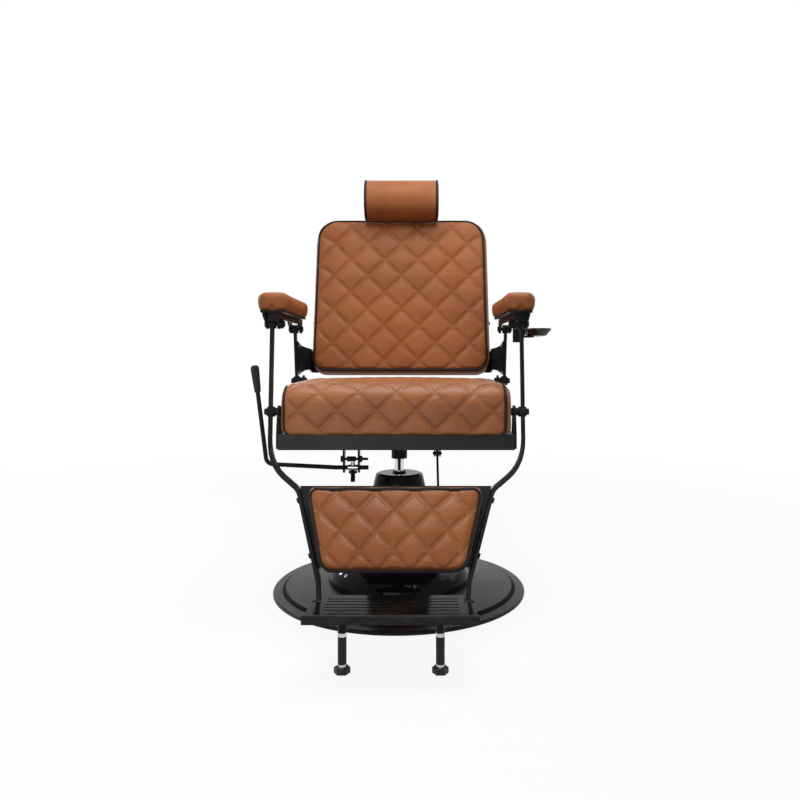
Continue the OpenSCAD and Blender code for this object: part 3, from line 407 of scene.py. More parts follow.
def discStepShade(tree):
    # painted shade: a dark, rougher ring at the foot of the disc's step
    parts = addNode(tree, "SeparateXYZ", {0: objectPlace(tree)}).outputs
    squares = addProduct(tree, parts["X"], parts["X"])
    squares = addMath(tree, "MULTIPLY_ADD", parts["Y"], parts["Y"], squares)
    reach = addMath(tree, "SQRT", squares)
    return addBand(tree, reach, discStep["inner"], discStep["outer"], discStep["soft"])


def alongPlate(tree, direction):
    # distance from the footplate's hinge along a direction of the tilted plate
    start = Vector(direction).dot(Vector(plateMarks["hinge"]))
    return addMath(tree, "SUBTRACT", addDot(tree, objectPlace(tree), direction), start)


def grooveShade(tree):
    # painted shade: dark bottoms of the footplate's grooves
    tilt, soft = math.radians(plateMarks["tilt"]), plateMarks["soft"]
    up = alongPlate(tree, (0, math.sin(tilt), math.cos(tilt)))
    across = addMath(tree, "ABSOLUTE", alongPlate(tree, (1, 0, 0)))
    level = addBand(tree, up, plateMarks["grooveLow"], plateMarks["grooveHigh"], soft)
    return addProduct(tree, level, addBand(tree, across, -1.0, plateMarks["grooveHalf"], soft))


def lipLightAndScuffs(tree):
    # painted light and shoe scuffs: the footplate's lip is made lighter and greyer, broken up by noise
    tilt, edge, soft = math.radians(plateMarks["tilt"]), plateMarks["lip"], plateMarks["lipSoft"]
    along = alongPlate(tree, (0, math.cos(tilt), -math.sin(tilt)))
    lip = addRange(tree, along, edge - soft, edge + soft, 1.0, 0.0)
    lightAndScuffs = addRange(tree, addNoise(tree, 55.0, 6.0, 0.65, (0.4, 1.0, 3.0)), 0.3, 0.7, 0.45)
    return addProduct(tree, lip, lightAndScuffs)


def metalFinish(name, dark, light, rough, scratch, stretch, bump, edge):
    material, tree, shader = startMaterial(name, 0.2, 0.5, 1.0)
    scratches = addNoise(tree, scratch, 3.0, 0.6, stretch)
    cloud = addRange(tree, addNoise(tree, 30.0, 4.0, 0.6), 0.35, 0.7)
    wear = useGroup(tree, edgeWear, {"Edge Radius": edge, "Amount": 0.4})
    fill(tree, shader, {"Base Color": mixColour(tree, cloud, dark, light),
                        "Roughness": addRange(tree, scratches, 0.3, 0.7, *rough),
                        "Normal": addBump(tree, scratches, bump, wear["Normal"])})
    return material


def plyFinish(name):
    material, tree, shader = startMaterial(name, 0.65, 0.3)
    grain = addNoise(tree, 26.0, 6.0, 0.6, (1.0, 9.0, 9.0))
    plies = addNode(tree, "TexWave", {"Vector": objectPlace(tree), "Scale": 130.0, "Distortion": 0.6},
                    bands_direction="Z").outputs["Fac"]
    colour = mixColour(tree, addRange(tree, grain, 0.35, 0.68), (0.42, 0.28, 0.16), (0.60, 0.44, 0.27))
    colour = mixColour(tree, addProduct(tree, plies, 0.3), colour, (0.26, 0.16, 0.09))
    fill(tree, shader, {"Base Color": colour, "Roughness": addRange(tree, grain, 0.3, 0.7, 0.55, 0.78),
                        "Normal": addBump(tree, grain, 0.0004)})
    return material


steelGrey = (0.11, 0.11, 0.115)
finishes = {
    "leather": leatherFinish(
        "tanLeather", dark=(0.300, 0.094, 0.028), light=(0.390, 0.132, 0.042),
        rough=(0.40, 0.50), specular=0.16, shine=(0.05, 0.60), crease=0.20, pucker=0.0006),
    # painted light: a lighter copy of the tan leather for the seat, standing in for the stronger light on it
    "seat_leather": leatherFinish(
        "seatLeatherLit", dark=(0.345, 0.117, 0.037), light=(0.445, 0.162, 0.056),
        rough=(0.38, 0.48), specular=0.20, shine=(0.14, 0.8), crease=0.20, pucker=0.0004),
    "piping": leatherFinish(
        "blackPiping", dark=(0.006, 0.006, 0.007), light=(0.014, 0.013, 0.013),
        rough=(0.34, 0.46), specular=0.14, grain=900.0, bump=0.00015),
    "thread": leatherFinish(
        "tanThread", dark=(0.40, 0.165, 0.070), light=(0.52, 0.24, 0.115), rough=(0.5, 0.6), specular=0.2,
        grain=2400.0, bump=0.0001),
    # the disc's dark ring at the foot of its step is painted shade
    "disc": coatedFinish(
        "enamelDisc", dark=(0.016, 0.012, 0.010), light=(0.028, 0.022, 0.019), worn=(0.09, 0.08, 0.075),
        rough=(0.24, 0.33), specular=0.09, peel=90.0, bump=0.00005, edge=0.0015, wear=0.3,
        patches=((discStepShade, (0.004, 0.0035, 0.003), 0.5),)),
    "gloss_cover": coatedFinish(
        "glossCover", dark=(0.004, 0.004, 0.004), light=(0.008, 0.0075, 0.0075), worn=(0.03, 0.03, 0.03),
        rough=(0.03, 0.07), specular=0.06, peel=60.0, bump=0.00005, dust=0.02),
    "black_steel": coatedFinish(
        "powderSteel", dark=(0.009, 0.009, 0.0095), light=(0.016, 0.016, 0.0165), worn=steelGrey,
        rough=(0.36, 0.48), specular=0.09, peel=480.0, bump=0.00004, edge=0.0011, wear=0.10, dust=0.02),
    "satin_steel": coatedFinish(
        "satinSteel", dark=(0.016, 0.016, 0.0165), light=(0.024, 0.024, 0.0245), worn=steelGrey,
        rough=(0.34, 0.44), specular=0.17, peel=480.0, bump=0.00004, edge=0.0011, wear=0.12, dust=0.02),
    # painted shade: the groove patch darkens the bottoms of the footplate's grooves
    "plate": coatedFinish(
        "plateBlack", dark=(0.006, 0.005, 0.0045), light=(0.013, 0.011, 0.009), worn=(0.24, 0.23, 0.21),
        rough=(0.10, 0.18), specular=0.01, peel=160.0, bump=0.00002, edge=0.0012, wear=0.5, dust=0.01,
        # painted light and shoe scuffs: the lip patch makes the footplate's front lip lighter
        patches=((grooveShade, (0.002, 0.0015, 0.0012), 0.4), (lipLightAndScuffs, (0.055, 0.053, 0.052), 0.2))),
    "back_panel": coatedFinish(
        "backPanel", dark=(0.010, 0.0095, 0.009), light=(0.017, 0.016, 0.015), worn=(0.05, 0.05, 0.05),
        rough=(0.45, 0.6), specular=0.3, edge=0.0015),
    "tray_plastic": coatedFinish(
        "trayPlastic", dark=(0.010, 0.010, 0.010), light=(0.017, 0.017, 0.017), worn=(0.07, 0.07, 0.07),
        rough=(0.28, 0.40), specular=0.35, peel=600.0, bump=0.0002, wear=0.3, dust=0.05),
    "grip": coatedFinish(
        "gripRubber", dark=(0.006, 0.006, 0.006), light=(0.012, 0.012, 0.012), worn=(0.04, 0.04, 0.04),
        rough=(0.42, 0.55), peel=800.0),
    "rubber": coatedFinish(
        "mouldedRubber", dark=(0.007, 0.007, 0.007), light=(0.013, 0.013, 0.0125), worn=(0.05, 0.05, 0.05),
        rough=(0.5, 0.65), wear=0.3, dust=0.08),
    "chrome": metalFinish(
        "polishedChrome", dark=(0.62, 0.62, 0.63), light=(0.78, 0.78, 0.79), rough=(0.05, 0.14),
        scratch=240.0, stretch=(1.0, 1.0, 0.06), bump=0.00002, edge=0.0008),
    "zinc": metalFinish(
        "brightZinc", dark=(0.48, 0.48, 0.49), light=(0.68, 0.68, 0.68), rough=(0.20, 0.36), scratch=700.0,
        stretch=(1.0, 1.0, 1.0), bump=0.00005, edge=0.0006),
    "board": plyFinish("barePly"),
}
slotOf = {row["node"]: row["material_slot"] for row in frame["record"]["subparts"]}
satinNodes = ("front_rail", "side_rail_left", "side_rail_right", "rear_rail")
for nodeName, nodeObject in frame["nodes"].items():
    finish = finishes["satin_steel" if nodeName in satinNodes else slotOf[nodeName]]
    nodeObject.data.materials.clear()
    nodeObject.data.materials.append(finish)
print("materials ready")

# meshes


def readRows(collection, label, width):
    flat = np.empty(len(collection) * width, np.float32)
    collection.foreach_get(label, flat)
    return flat.astype(float)


def readPoints(mesh):
    return readRows(mesh.vertices, "co", 3).reshape(-1, 3)


def readNormals(mesh):
    return readRows(mesh.vertex_normals, "vector", 3).reshape(-1, 3)


def readValues(mesh, label):
    return readRows(mesh.attributes[label].data, "value", 1)


def writePoints(mesh, points):
    mesh.vertices.foreach_set("co", points.astype(np.float32).ravel())
    mesh.update()


def writeValues(mesh, label, values):
    mesh.attributes.new(label, "FLOAT", "POINT").data.foreach_set("value", values.astype(np.float32))


def faceOutwards(mesh):
    faces = bmesh.new()
    faces.from_mesh(mesh)
    bmesh.ops.recalc_face_normals(faces, faces=faces.faces)
    faces.to_mesh(mesh)
    faces.free()


def applyModifiers(piece):
    # the shaped mesh takes the place of the plain one
    done = bpy.data.meshes.new_from_object(piece.evaluated_get(bpy.context.evaluated_depsgraph_get()))
    piece.modifiers.clear()
    plain = piece.data
    piece.data = done
    bpy.data.meshes.remove(plain)
    done.name = piece.name


def bandFaces(rings, points):
    # four-sided faces between neighbouring closed rings of points
    return [(i * points + j, i * points + (j + 1) % points, (i + 1) * points + (j + 1) % points,
             (i + 1) * points + j) for i in range(rings - 1) for j in range(points)]


def dress(piece, finish):
    for face in piece.data.polygons:
        face.use_smooth = True
    piece.data.materials.clear()
    piece.data.materials.append(finishes[finish])


def turned(*steps):
    # product of moves and turns: (x, y, z) moves, ("X", degrees) turns
    matrix = Matrix.Identity(4)
    for step in steps:
        if isinstance(step[0], str):
            matrix = matrix @ Matrix.Rotation(math.radians(step[1]), 4, step[0])
        else:
            matrix = matrix @ Matrix.Translation(step)
    return matrix


# padded pieces: shape

padBuild = {
    "capRings": (0.97, 0.86, 0.68, 0.48, 0.26, 0.08),  # shares of the end's outline
    "underStep": 0.02,
    "bareStart": 0.05,  # share of the front side below which nothing is quilted
    "puffPower": 0.6, "puffEdge": (0.5, 0.8),  # start and reach in from the side, as shares of its radius
    "above": 0.6,  # metres
}


def fallAt(edge, radius):
    # how far a rounded edge has dropped at a distance inside it
    inside = np.clip(radius - np.asarray(edge, float), 0, radius)
    return radius - np.sqrt(np.maximum(radius * radius - inside * inside, 0))


def shares(size, step, least):
    # 1/n, 2/n and on to 1, for pieces of about one step
    count = max(least, round(size / step))
    return [i / count for i in range(1, count + 1)]


def padSection(pad):
    # rows of (along, height, out along, out height, crown, quilted, run), once round the section
    step, length, height = pad["grid"], pad["length"], pad["height"]
    near, far = pad["nearRadius"], pad["farRadius"]
    nearHeight, farHeight, face = height - near, height - far, length - near - far
    nearArc, farArc = near * math.pi / 2, far * math.pi / 2
    quilted = 1.0 if pad["wrapped"] else 0.0
    rows = []
    for k in (0, *shares(nearHeight, step, 2)):
        draw = pad["undercut"] * (1 - k) + (0 if pad["wrapped"] else pad["sideDraw"] * math.sin(math.pi * k))
        sewn = quilted if k > padBuild["bareStart"] else 0
        rows.append((draw, nearHeight * k, -1, 0, 0, sewn, nearHeight * k))
    for k in shares(nearArc, step, 3):
        out, up = math.cos(math.pi / 2 * k), math.sin(math.pi / 2 * k)
        rows.append((near * (1 - out), nearHeight + near * up, -out, up, 0, max(quilted, k ** 2),
                     nearHeight + nearArc * k))
    run = nearHeight + nearArc
    for k in shares(face, step, 2):
        rows.append((near + face * k, height, 0, 1, 4 * k * (1 - k), 1, run + face * k))
    run += face
    for k in (*shares(farArc, step, 3)[-2::-1], 0):
        out, up = math.cos(math.pi / 2 * k), math.sin(math.pi / 2 * k)
        rows.append((length - far * (1 - out), farHeight + far * up, out, up, 0, k ** 2,
                     run + farArc * (1 - k)))
    run += farArc
    for k in shares(farHeight, step, 2):
        draw = pad["farUndercut"] * k + pad["sideDraw"] * math.sin(math.pi * k)
        rows.append((length - draw, farHeight * (1 - k), 1, 0, 0, 0, run + farHeight * k))
    rows += [(length * (1 - k), 0, 0, 0, 0, 0, 0) for k in shares(length, padBuild["underStep"], 4)[:-1]]
    return np.array(rows)


def quiltTurns(pad, x, run):
    # how many seams of each slant lie before a point
    a, b = x / pad["pitch"], (run - pad["first"]) / pad["runPitch"]
    return a + b, a - b


def quiltDistance(pad, x, run):
    # distance to the nearest quilting seam
    slope = math.hypot(1 / pad["pitch"], 1 / pad["runPitch"])
    first, second = quiltTurns(pad, x, run)
    return np.minimum(abs(first - np.round(first)), abs(second - np.round(second))) / slope


def sideRamp(pad, edge, ramp):
    # from 0 at a pad's side to 1 inside it
    return np.clip((edge - pad["sideRadius"] * ramp[0]) / (pad["sideRadius"] * ramp[1]), 0, 1)


def padRing(pad, section, x):
    edge = pad["width"] / 2 - abs(x)
    near = fallAt(edge, pad["nearCorner"])
    far = pad["length"] - fallAt(edge, pad["farCorner"])
    bow = 1 - (2 * x / pad["width"]) ** 2
    puff = 0.0
    if pad["pitch"]:
        first, second = quiltTurns(pad, x, section[:, 6])
        depth = abs(np.sin(math.pi * first) * np.sin(math.pi * second)) ** padBuild["puffPower"]
        inner = sideRamp(pad, edge, padBuild["puffEdge"])
        puff = pad["puff"] * section[:, 5] * depth * inner
    swell = pad["crown"] * bow * section[:, 4] + puff - fallAt(edge, pad["sideRadius"])
    along = near + (far - near) * (section[:, 0] + section[:, 2] * swell) / pad["length"]
    up = np.maximum(0, section[:, 1] + section[:, 3] * swell)
    foot = fallAt(up, pad["footRadius"]) * abs(2 * x / pad["width"]) ** 5 * np.sign(x)
    return np.stack([x * slimAt(pad, along) - foot, along, up], 1)


def slimAt(pad, along):
    # width's share at a distance along the pad
    return pad["taper"] + (1 - pad["taper"]) * along / pad["length"]


def padStations(pad):
    step, radius, half = pad["grid"], pad["sideRadius"], pad["width"] / 2
    edges = [half - radius * (1 - math.cos(math.pi / 2 * k))
             for k in (0, *shares(radius * math.pi / 2, step, 4)[:-1])]
    inner = [-(half - radius) + 2 * (half - radius) * k for k in (0, *shares(2 * (half - radius), step, 4))]
    return [-x for x in edges] + inner + edges[::-1]


def closeEnd(pad, end):
    # concentric rings from an end towards its middle, drawn in a little
    middle = end.mean(0)
    inward = -1 if end[0][0] > 0 else 1
    caps = []
    for k in padBuild["capRings"]:
        ring = middle + (end - middle) * k
        ring[:, 0] += inward * pad["capDraw"] * (1 - k)
        caps.append(ring)
    return caps


def buildPad(name, pad, body, *nodes):
    section = padSection(pad)
    stations = padStations(pad)
    rings = [padRing(pad, section, x) for x in stations]
    low, high = closeEnd(pad, rings[0]), closeEnd(pad, rings[-1])
    rings = low[::-1] + rings + high
    across = [stations[0]] * len(low) + stations + [stations[-1]] * len(high)
    rounds, points = len(rings), len(section)
    faces = bandFaces(rounds, points)
    faces.append(tuple(range(points - 1, -1, -1)))
    faces.append(tuple((rounds - 1) * points + j for j in range(points)))
    mesh = addMesh(name, np.concatenate(rings).tolist(), [], faces)
    writeValues(mesh, "across", np.repeat(across, points))
    writeValues(mesh, "run", np.tile(section[:, 6], rounds))
    writeValues(mesh, "quilted", np.tile(section[:, 5], rounds))
    faceOutwards(mesh)
    pad.update(piece=addObject(name, mesh), name=name, body=body, nodes=nodes, section=section)


# padded pieces: piping paths, in the pad's own axes

pathStep, cornerTurns = 0.004, 12  # metres between points, pieces of a quarter turn


def roundedPath(corners):
    # once round a rounded outline: each corner is (centre x, centre y, radius, first angle)
    return [(x + radius * math.cos(math.radians(start + 90 * i / cornerTurns)),
             y + radius * math.sin(math.radians(start + 90 * i / cornerTurns)))
            for x, y, radius, start in corners for i in range(cornerTurns + 1)]


def panelBox(pad):
    # the piping's outline: low and high x, low and high along
    left, right, near, far = pad["insets"]
    return -pad["width"] / 2 + left, pad["width"] / 2 - right, near, pad["length"] - far


def outlinePath(pad):
    x0, x1, y0, y1 = panelBox(pad)
    near, far = (max(pad[key] - min(pad["insets"]), 0.004) for key in ("nearCorner", "farCorner"))
    path = roundedPath([(x1 - near, y0 + near, near, -90), (x1 - far, y1 - far, far, 0),
                        (x0 + far, y1 - far, far, 90), (x0 + near, y0 + near, near, 180)])
    filled = []
    for point, following in zip(path, path[1:] + path[:1]):
        count = max(1, round(math.dist(point, following) / pathStep))
        filled += [(point[0] + (following[0] - point[0]) * k / count,
                    point[1] + (following[1] - point[1]) * k / count) for k in range(count)]
    return [(x * slimAt(pad, y), y, pad["height"] * 0.8) for x, y in filled]


def pipingPaths(pad):
    # list of (points, closed) before they are settled on the mesh
    if pad["piping"] == "outline":
        return [(outlinePath(pad), True)]
    paths = []
    for x in pad["pipes"]:
        ring = padRing(pad, pad["section"], x)
        if pad["piping"] == "sides":  # up the front, over the top and down the back, not underneath
            paths.append(([p for p, row in zip(ring, pad["section"]) if abs(row[2]) + abs(row[3]) > 0],
                          False))
        else:
            paths.append((list(ring), True))
    return paths


def smoothPath(points, closed, rounds=3):
    row = np.array([tuple(p) for p in points])
    for _ in range(rounds):
        softer = row * 0.5 + (np.roll(row, 1, 0) + np.roll(row, -1, 0)) * 0.25
        if not closed:
            softer[0], softer[-1] = row[0], row[-1]
        row = softer
    return row


def settlePipes(pad, lift=0.0):
    # puts the piping paths on the present mesh of the pad
    tree = BVHTree.FromObject(pad["piece"], bpy.context.evaluated_depsgraph_get())
    settled = []
    for path, closed in pipingPaths(pad):
        points = []
        for point in path:
            if pad["piping"] == "outline":
                hit = tree.ray_cast(Vector((*point[:2], padBuild["above"])), Vector((0, 0, -1)))
            else:
                hit = tree.find_nearest(Vector(point))
            if hit[0] is not None:
                points.append(hit[0] + hit[1] * lift)
        settled.append((smoothPath(points, closed), closed))
    return settled


def nearPiping(points, paths):
    # distance of each point to the nearest piping path
    nearest = np.full(len(points), 1.0)
    stretch, reach = 40, 0.02
    for path, _ in paths:
        for start in range(0, len(path), stretch):
            part = path[start:start + stretch + 1]
            low, high = part.min(0) - reach, part.max(0) + reach
            inside = np.nonzero(((points > low) & (points < high)).all(1))[0]
            if len(inside):
                gaps = np.linalg.norm(points[inside, None, :] - part[None, :, :], axis=2).min(1)
                nearest[inside] = np.minimum(nearest[inside], gaps)
    return nearest


# padded pieces: filling, quilting and creases

filling = {"quality": 4, "mass": 0.3, "bending": 0.3, "shear": 0.4, "frames": 20, "cacheEnd": 24,
           "levels": 10, "seamHold": 0.0035, "seamFull": 1.6, "pipeHold": 0.004, "pipeFull": 1.8,
           "underHold": 0.003}
seamFolds = {"depth": 0.0003, "bend": 0.006, "bendTurns": (61, 47),
             "waves": ((0.3, 0.014, 0.0), (1.25, 0.019, 2.1), (2.2, 0.012, 4.0))}  # turn, length, start
sewing = {
    "rowWidth": 0.0014, "rowDepth": 0.0011,  # beside each row of stitches
    "valleyWidth": 0.007, "valleyDepth": 0.0014,  # the broad dip along a seam
    "tuckWidth": 0.0050, "tuckDepth": 0.0022, "tuckShade": 0.0065,  # beside the piping
    "seamPull": 0.017, "pipePull": 0.016,  # reach of the small folds
    "sideRamp": (0.45, 0.3),
}


def addFilling(pad):
    # sewn lines, piping and the underside are held while pressure swells the rest
    piece = pad["piece"]
    points = readPoints(piece.data)
    held = (points[:, 2] < filling["underHold"]).astype(float)
    if pad["pitch"]:
        distance = quiltDistance(pad, readValues(piece.data, "across"), readValues(piece.data, "run"))
        sewn = np.clip(filling["seamFull"] - distance / filling["seamHold"], 0, 1)
        sewn *= readValues(piece.data, "quilted") > 0.3
        held = np.maximum(held, sewn)
    pipe = nearPiping(points, pad["rawPipes"])
    held = np.maximum(held, np.clip(filling["pipeFull"] - pipe / filling["pipeHold"], 0, 1))
    group = piece.vertex_groups.new(name="sewn")
    levels = np.round(held * filling["levels"]).astype(int)
    for level in range(1, filling["levels"] + 1):
        members = np.nonzero(levels == level)[0].tolist()
        if members:
            group.add(members, level / filling["levels"], "REPLACE")
    cloth = piece.modifiers.new("filling", "CLOTH")
    values = {
        "quality": filling["quality"], "mass": filling["mass"], "bending_stiffness": filling["bending"],
        "tension_stiffness": pad["tension"], "compression_stiffness": pad["tension"],
        "shear_stiffness": pad["tension"] * filling["shear"], "use_pressure": True,
        "uniform_pressure_force": pad["pressure"], "vertex_group_mass": "sewn", "shrink_min": -pad["slack"]}
    for label, value in values.items():
        setattr(cloth.settings, label, value)
    cloth.settings.effector_weights.gravity = 0
    cloth.collision_settings.use_collision = False
    cloth.collision_settings.use_self_collision = False
    cloth.point_cache.frame_start = 1
    cloth.point_cache.frame_end = filling["cacheEnd"]


def takeFilling(pad):
    # reads the swollen shape, limits how far a point has moved and drops the cloth
    piece = pad["piece"]
    before = readPoints(piece.data)
    swollen = piece.evaluated_get(bpy.context.evaluated_depsgraph_get())
    moved = readPoints(swollen.data) - before
    piece.modifiers.clear()
    piece.vertex_groups.clear()
    length = np.linalg.norm(moved, axis=1, keepdims=True) + 1e-9
    moved *= pad["cap"] * np.tanh(length / pad["cap"]) / length
    print(pad["name"], "filled by up to", round(float(length.max()) * 1000, 1), "mm")
    after = before + moved
    after[:, 2] = np.maximum(after[:, 2], 0)
    writePoints(piece.data, after)


def refine(pad):
    smoother = pad["piece"].modifiers.new("smoother", "SUBSURF")
    smoother.levels = smoother.render_levels = 1
    smoother.use_limit_surface = False
    applyModifiers(pad["piece"])


def foldWaves(points):
    # crossing waves, bent so that they never run straight
    flat, deep = points[:, 0], points[:, 1] + points[:, 2]
    bend, (deepTurns, flatTurns) = seamFolds["bend"], seamFolds["bendTurns"]
    flat = flat + bend * np.sin(deep * deepTurns)
    deep = deep + bend * np.sin(points[:, 0] * flatTurns)
    waves = [np.sin(2 * math.pi * (flat * math.cos(turn) + deep * math.sin(turn)) / length + start)
             for turn, length, start in seamFolds["waves"]]
    return sum(waves) / len(waves)


def hump(distance, width):
    return np.exp(-(distance / width) ** 2)


def sewPad(pad):
    # seams and the tuck beside the piping go in after the filling
    mesh = pad["piece"].data
    points, normals = readPoints(mesh), readNormals(mesh)
    pipe = nearPiping(points, pad["laidPipes"])
    # painted shade: this mask darkens the leather's colour beside the piping and along the quilting seams
    crease = hump(pipe, sewing["tuckShade"])
    pull = np.zeros(len(points))
    sink = sewing["tuckDepth"] * hump(pipe, sewing["tuckWidth"])
    if pad["pitch"]:
        across = readValues(mesh, "across")
        quilted = np.clip(readValues(mesh, "quilted") * 1.6 - 0.3, 0, 1)
        quilted *= sideRamp(pad, pad["width"] / 2 - abs(across), sewing["sideRamp"])
        distance = quiltDistance(pad, across, readValues(mesh, "run"))
        rows = hump(distance - pad["rowGap"] / 2, sewing["rowWidth"])
        valley = hump(distance, sewing["valleyWidth"])
        crease = np.maximum(crease, pad["creaseShade"] * quilted * (0.6 * rows + 0.4 * valley))
        pull = np.maximum(quilted * hump(distance, sewing["seamPull"]), hump(pipe, sewing["pipePull"]))
        sink += quilted * (sewing["rowDepth"] * rows + sewing["valleyDepth"] * valley)
        sink += seamFolds["depth"] * pull * foldWaves(points)
    points -= normals * sink[:, None]
    points[:, 2] = np.maximum(points[:, 2], 0)
    writeValues(mesh, "crease", crease)
    writeValues(mesh, "pull", pull)
    writePoints(mesh, points)


# geometry node trees for what follows a path


def endTree(tree, given, result, *steps):
    # joins the steps, and ends in real meshes with their finish
    shape = given["Geometry"]
    for step in (*steps, addNode(tree, "RealizeInstances"),
                 addNode(tree, "SetMaterial", {"Material": given["Finish"]})):
        fill(tree, step.inputs, {0: shape})
        shape = step
    fill(tree, result, {"Geometry": shape})
    return tree


def makePipingTree():
    tree, given, result = newTree("pipingTree", {
        "Cord Radius": 0.003, "Sides": 10, "Spacing": 0.004, "Finish": None}, "Geometry")
    circle = addNode(tree, "CurvePrimitiveCircle", {
        "Resolution": given["Sides"], "Radius": given["Cord Radius"]})
    return endTree(tree, given, result, addNode(tree, "MeshToCurve"),
                   addNode(tree, "ResampleCurve", {"Length": given["Spacing"]}, mode="LENGTH"),
                   addNode(tree, "CurveToMesh", {"Profile Curve": circle, "Fill Caps": True}),
                   addNode(tree, "SetShadeSmooth"))


def makeStitchTree():
    tree, given, result = newTree("stitchTree", {
        "Pitch": 0.005, "Stitch Length": 0.0038, "Thread Radius": 0.0005, "Finish": None}, "Geometry")
    grain = addNode(tree, "MeshUVSphere", {"Segments": 6, "Rings": 4})
    half = addProduct(tree, given["Stitch Length"], 0.5)
    size = addNode(tree, "ShaderNodeCombineXYZ", {
        "X": given["Thread Radius"], "Y": given["Thread Radius"], "Z": half})
    shaped = addNode(tree, "Transform", {"Geometry": grain, "Scale": size})
    along = addNode(tree, "FunctionNodeAlignRotationToVector", {
        "Vector": addNode(tree, "InputTangent")}, axis="Z")
    wobble = addNode(tree, "FunctionNodeRandomValue", {2: 0.88, 3: 1.08, "Seed": 4}, data_type="FLOAT")
    return endTree(tree, given, result, addNode(tree, "MeshToCurve"),
                   addNode(tree, "ResampleCurve", {"Length": given["Pitch"]}, mode="LENGTH"),
                   addNode(tree, "InstanceOnPoints", {
                       "Instance": shaped, "Rotation": along, "Scale": wobble.outputs[1]}))


def makeScrewTree():
    # pan head screws with a cross recess, one at each point
    tree, given, result = newTree("screwTree", {"Head Radius": 0.0045, "Finish": None}, "Geometry")
    flatness = 0.42
    head = addNode(tree, "MeshUVSphere", {"Segments": 20, "Rings": 10})
    flat = addNode(tree, "Transform", {"Geometry": head, "Scale": (1.0, flatness, 1.0)})
    cut = addNode(tree, "MeshBoolean", {0: flat}, operation="DIFFERENCE")
    for size in ((1.15, 0.5, 0.2), (0.2, 0.5, 1.15)):
        slot = addNode(tree, "MeshCube", {"Size": size})
        placed = addNode(tree, "Transform", {"Geometry": slot, "Translation": (0, flatness, 0)})
        fill(tree, cut.inputs, {1: placed})
    turn = addNode(tree, "FunctionNodeRandomValue", {0: (0, -1.5, 0), 1: (0, 1.5, 0), "Seed": 7},
                   data_type="FLOAT_VECTOR")
    return endTree(tree, given, result, addNode(tree, "InstanceOnPoints", {
        "Instance": cut, "Rotation": turn, "Scale": given["Head Radius"]}))


def runTree(name, tree, source, values):
    # a plain mesh object made by the tree from a source mesh
    carrier = addObject(name + "Source", source)
    modifier = carrier.modifiers.new("maker", "NODES")
    modifier.node_group = tree
    for item in tree.interface.items_tree:
        if item.item_type == "SOCKET" and item.in_out == "INPUT" and item.name in values:
            modifier[item.identifier] = values[item.name]
    made = bpy.data.meshes.new_from_object(carrier.evaluated_get(bpy.context.evaluated_depsgraph_get()))
    made.name = name
    bpy.data.objects.remove(carrier)
    return addObject(name, made)


def pathMesh(name, paths):
    # edges only, one chain for each path
    verts, edges = [], []
    for path, closed in paths:
        start = len(verts)
        verts += [tuple(p) for p in path]
        edges += [(start + i, start + i + 1) for i in range(len(path) - 1)]
        if closed:
            edges.append((start + len(path) - 1, start))
    return addMesh(name, verts, edges, [])


pipingTree = makePipingTree()
stitchTree = makeStitchTree()

# padded pieces: the chair's own pads

backPlace = [(0, 0.185, 0.617), ("X", -11)]
legPlace = [(0, -0.465, 0.1135), ("X", -35)]

quiltedPad = {
    "crown": 0.008, "capDraw": 0.001, "creaseShade": 1.0, "taper": 1, "wrapped": False, "undercut": 0,
    "farUndercut": 0, "sideDraw": 0.003, "footRadius": 0, "grid": 0.0055, "cap": 0.006, "pressure": 4.0,
    "tension": 14, "slack": 0.02, "rowGap": 0.0062, "lift": 0.0006, "finish": "leather",
}
smoothPad = {**quiltedPad, "puff": 0, "pitch": 0, "runPitch": 1, "first": 0, "pressure": 2.0, "tension": 40,
             "slack": 0.0, "rowGap": 0, "lift": 0.0008, "piping": "rings", "pipes": ()}
seatPad = {
    **quiltedPad, "width": 0.571, "length": 0.468, "height": 0.124, "nearRadius": 0.052, "farRadius": 0.026,
    "sideRadius": 0.026, "nearCorner": 0.008, "farCorner": 0.030, "puff": 0.0030, "creaseShade": 0.45,
    "pitch": 0.096, "runPitch": 0.096, "first": 0.009, "wrapped": True, "footRadius": 0.013,
    "piping": "sides", "pipes": (-0.277, 0.270), "finish": "seat_leather",
    "place": turned((0, -0.298, 0.4693)),
}
backPad = {
    **quiltedPad, "width": 0.555, "length": 0.511, "height": 0.057, "nearRadius": 0.020, "farRadius": 0.024,
    "sideRadius": 0.020, "nearCorner": 0.044, "farCorner": 0.068, "puff": 0.0052, "pitch": 0.1076,
    "runPitch": 0.110, "first": 0.0307, "taper": 1.02, "piping": "outline",
    "insets": (0.008, 0.012, 0.010, 0.006), "cap": 0.007,
    "place": turned(*backPlace, (0, 0.062, -0.004), ("X", 90)),
}
calfPad = {
    **quiltedPad, "width": 0.428, "length": 0.205, "height": 0.041, "nearRadius": 0.018, "farRadius": 0.018,
    "sideRadius": 0.018, "nearCorner": 0.028, "farCorner": 0.024, "crown": 0.006, "puff": 0.0045,
    "pitch": 0.095, "runPitch": 0.096, "first": 0.073, "taper": 328 / 430, "undercut": 0.012,
    "grid": 0.0045, "piping": "outline", "insets": (0.006, 0.006, 0.0025, 0.0115),
    "place": turned(*legPlace, (0, -0.0003, 0.063), ("X", 90)),
}
headPad = {
    **smoothPad, "width": 0.239, "length": 0.128, "height": 0.080, "nearRadius": 0.058, "farRadius": 0.058,
    "sideRadius": 0.007, "nearCorner": 0.002, "farCorner": 0.002, "crown": 0, "grid": 0.004,
    "pipes": (-0.1158, 0.1148), "cap": 0.0015, "place": turned(*backPlace, (0, -0.002, 0.495), ("X", 90)),
}
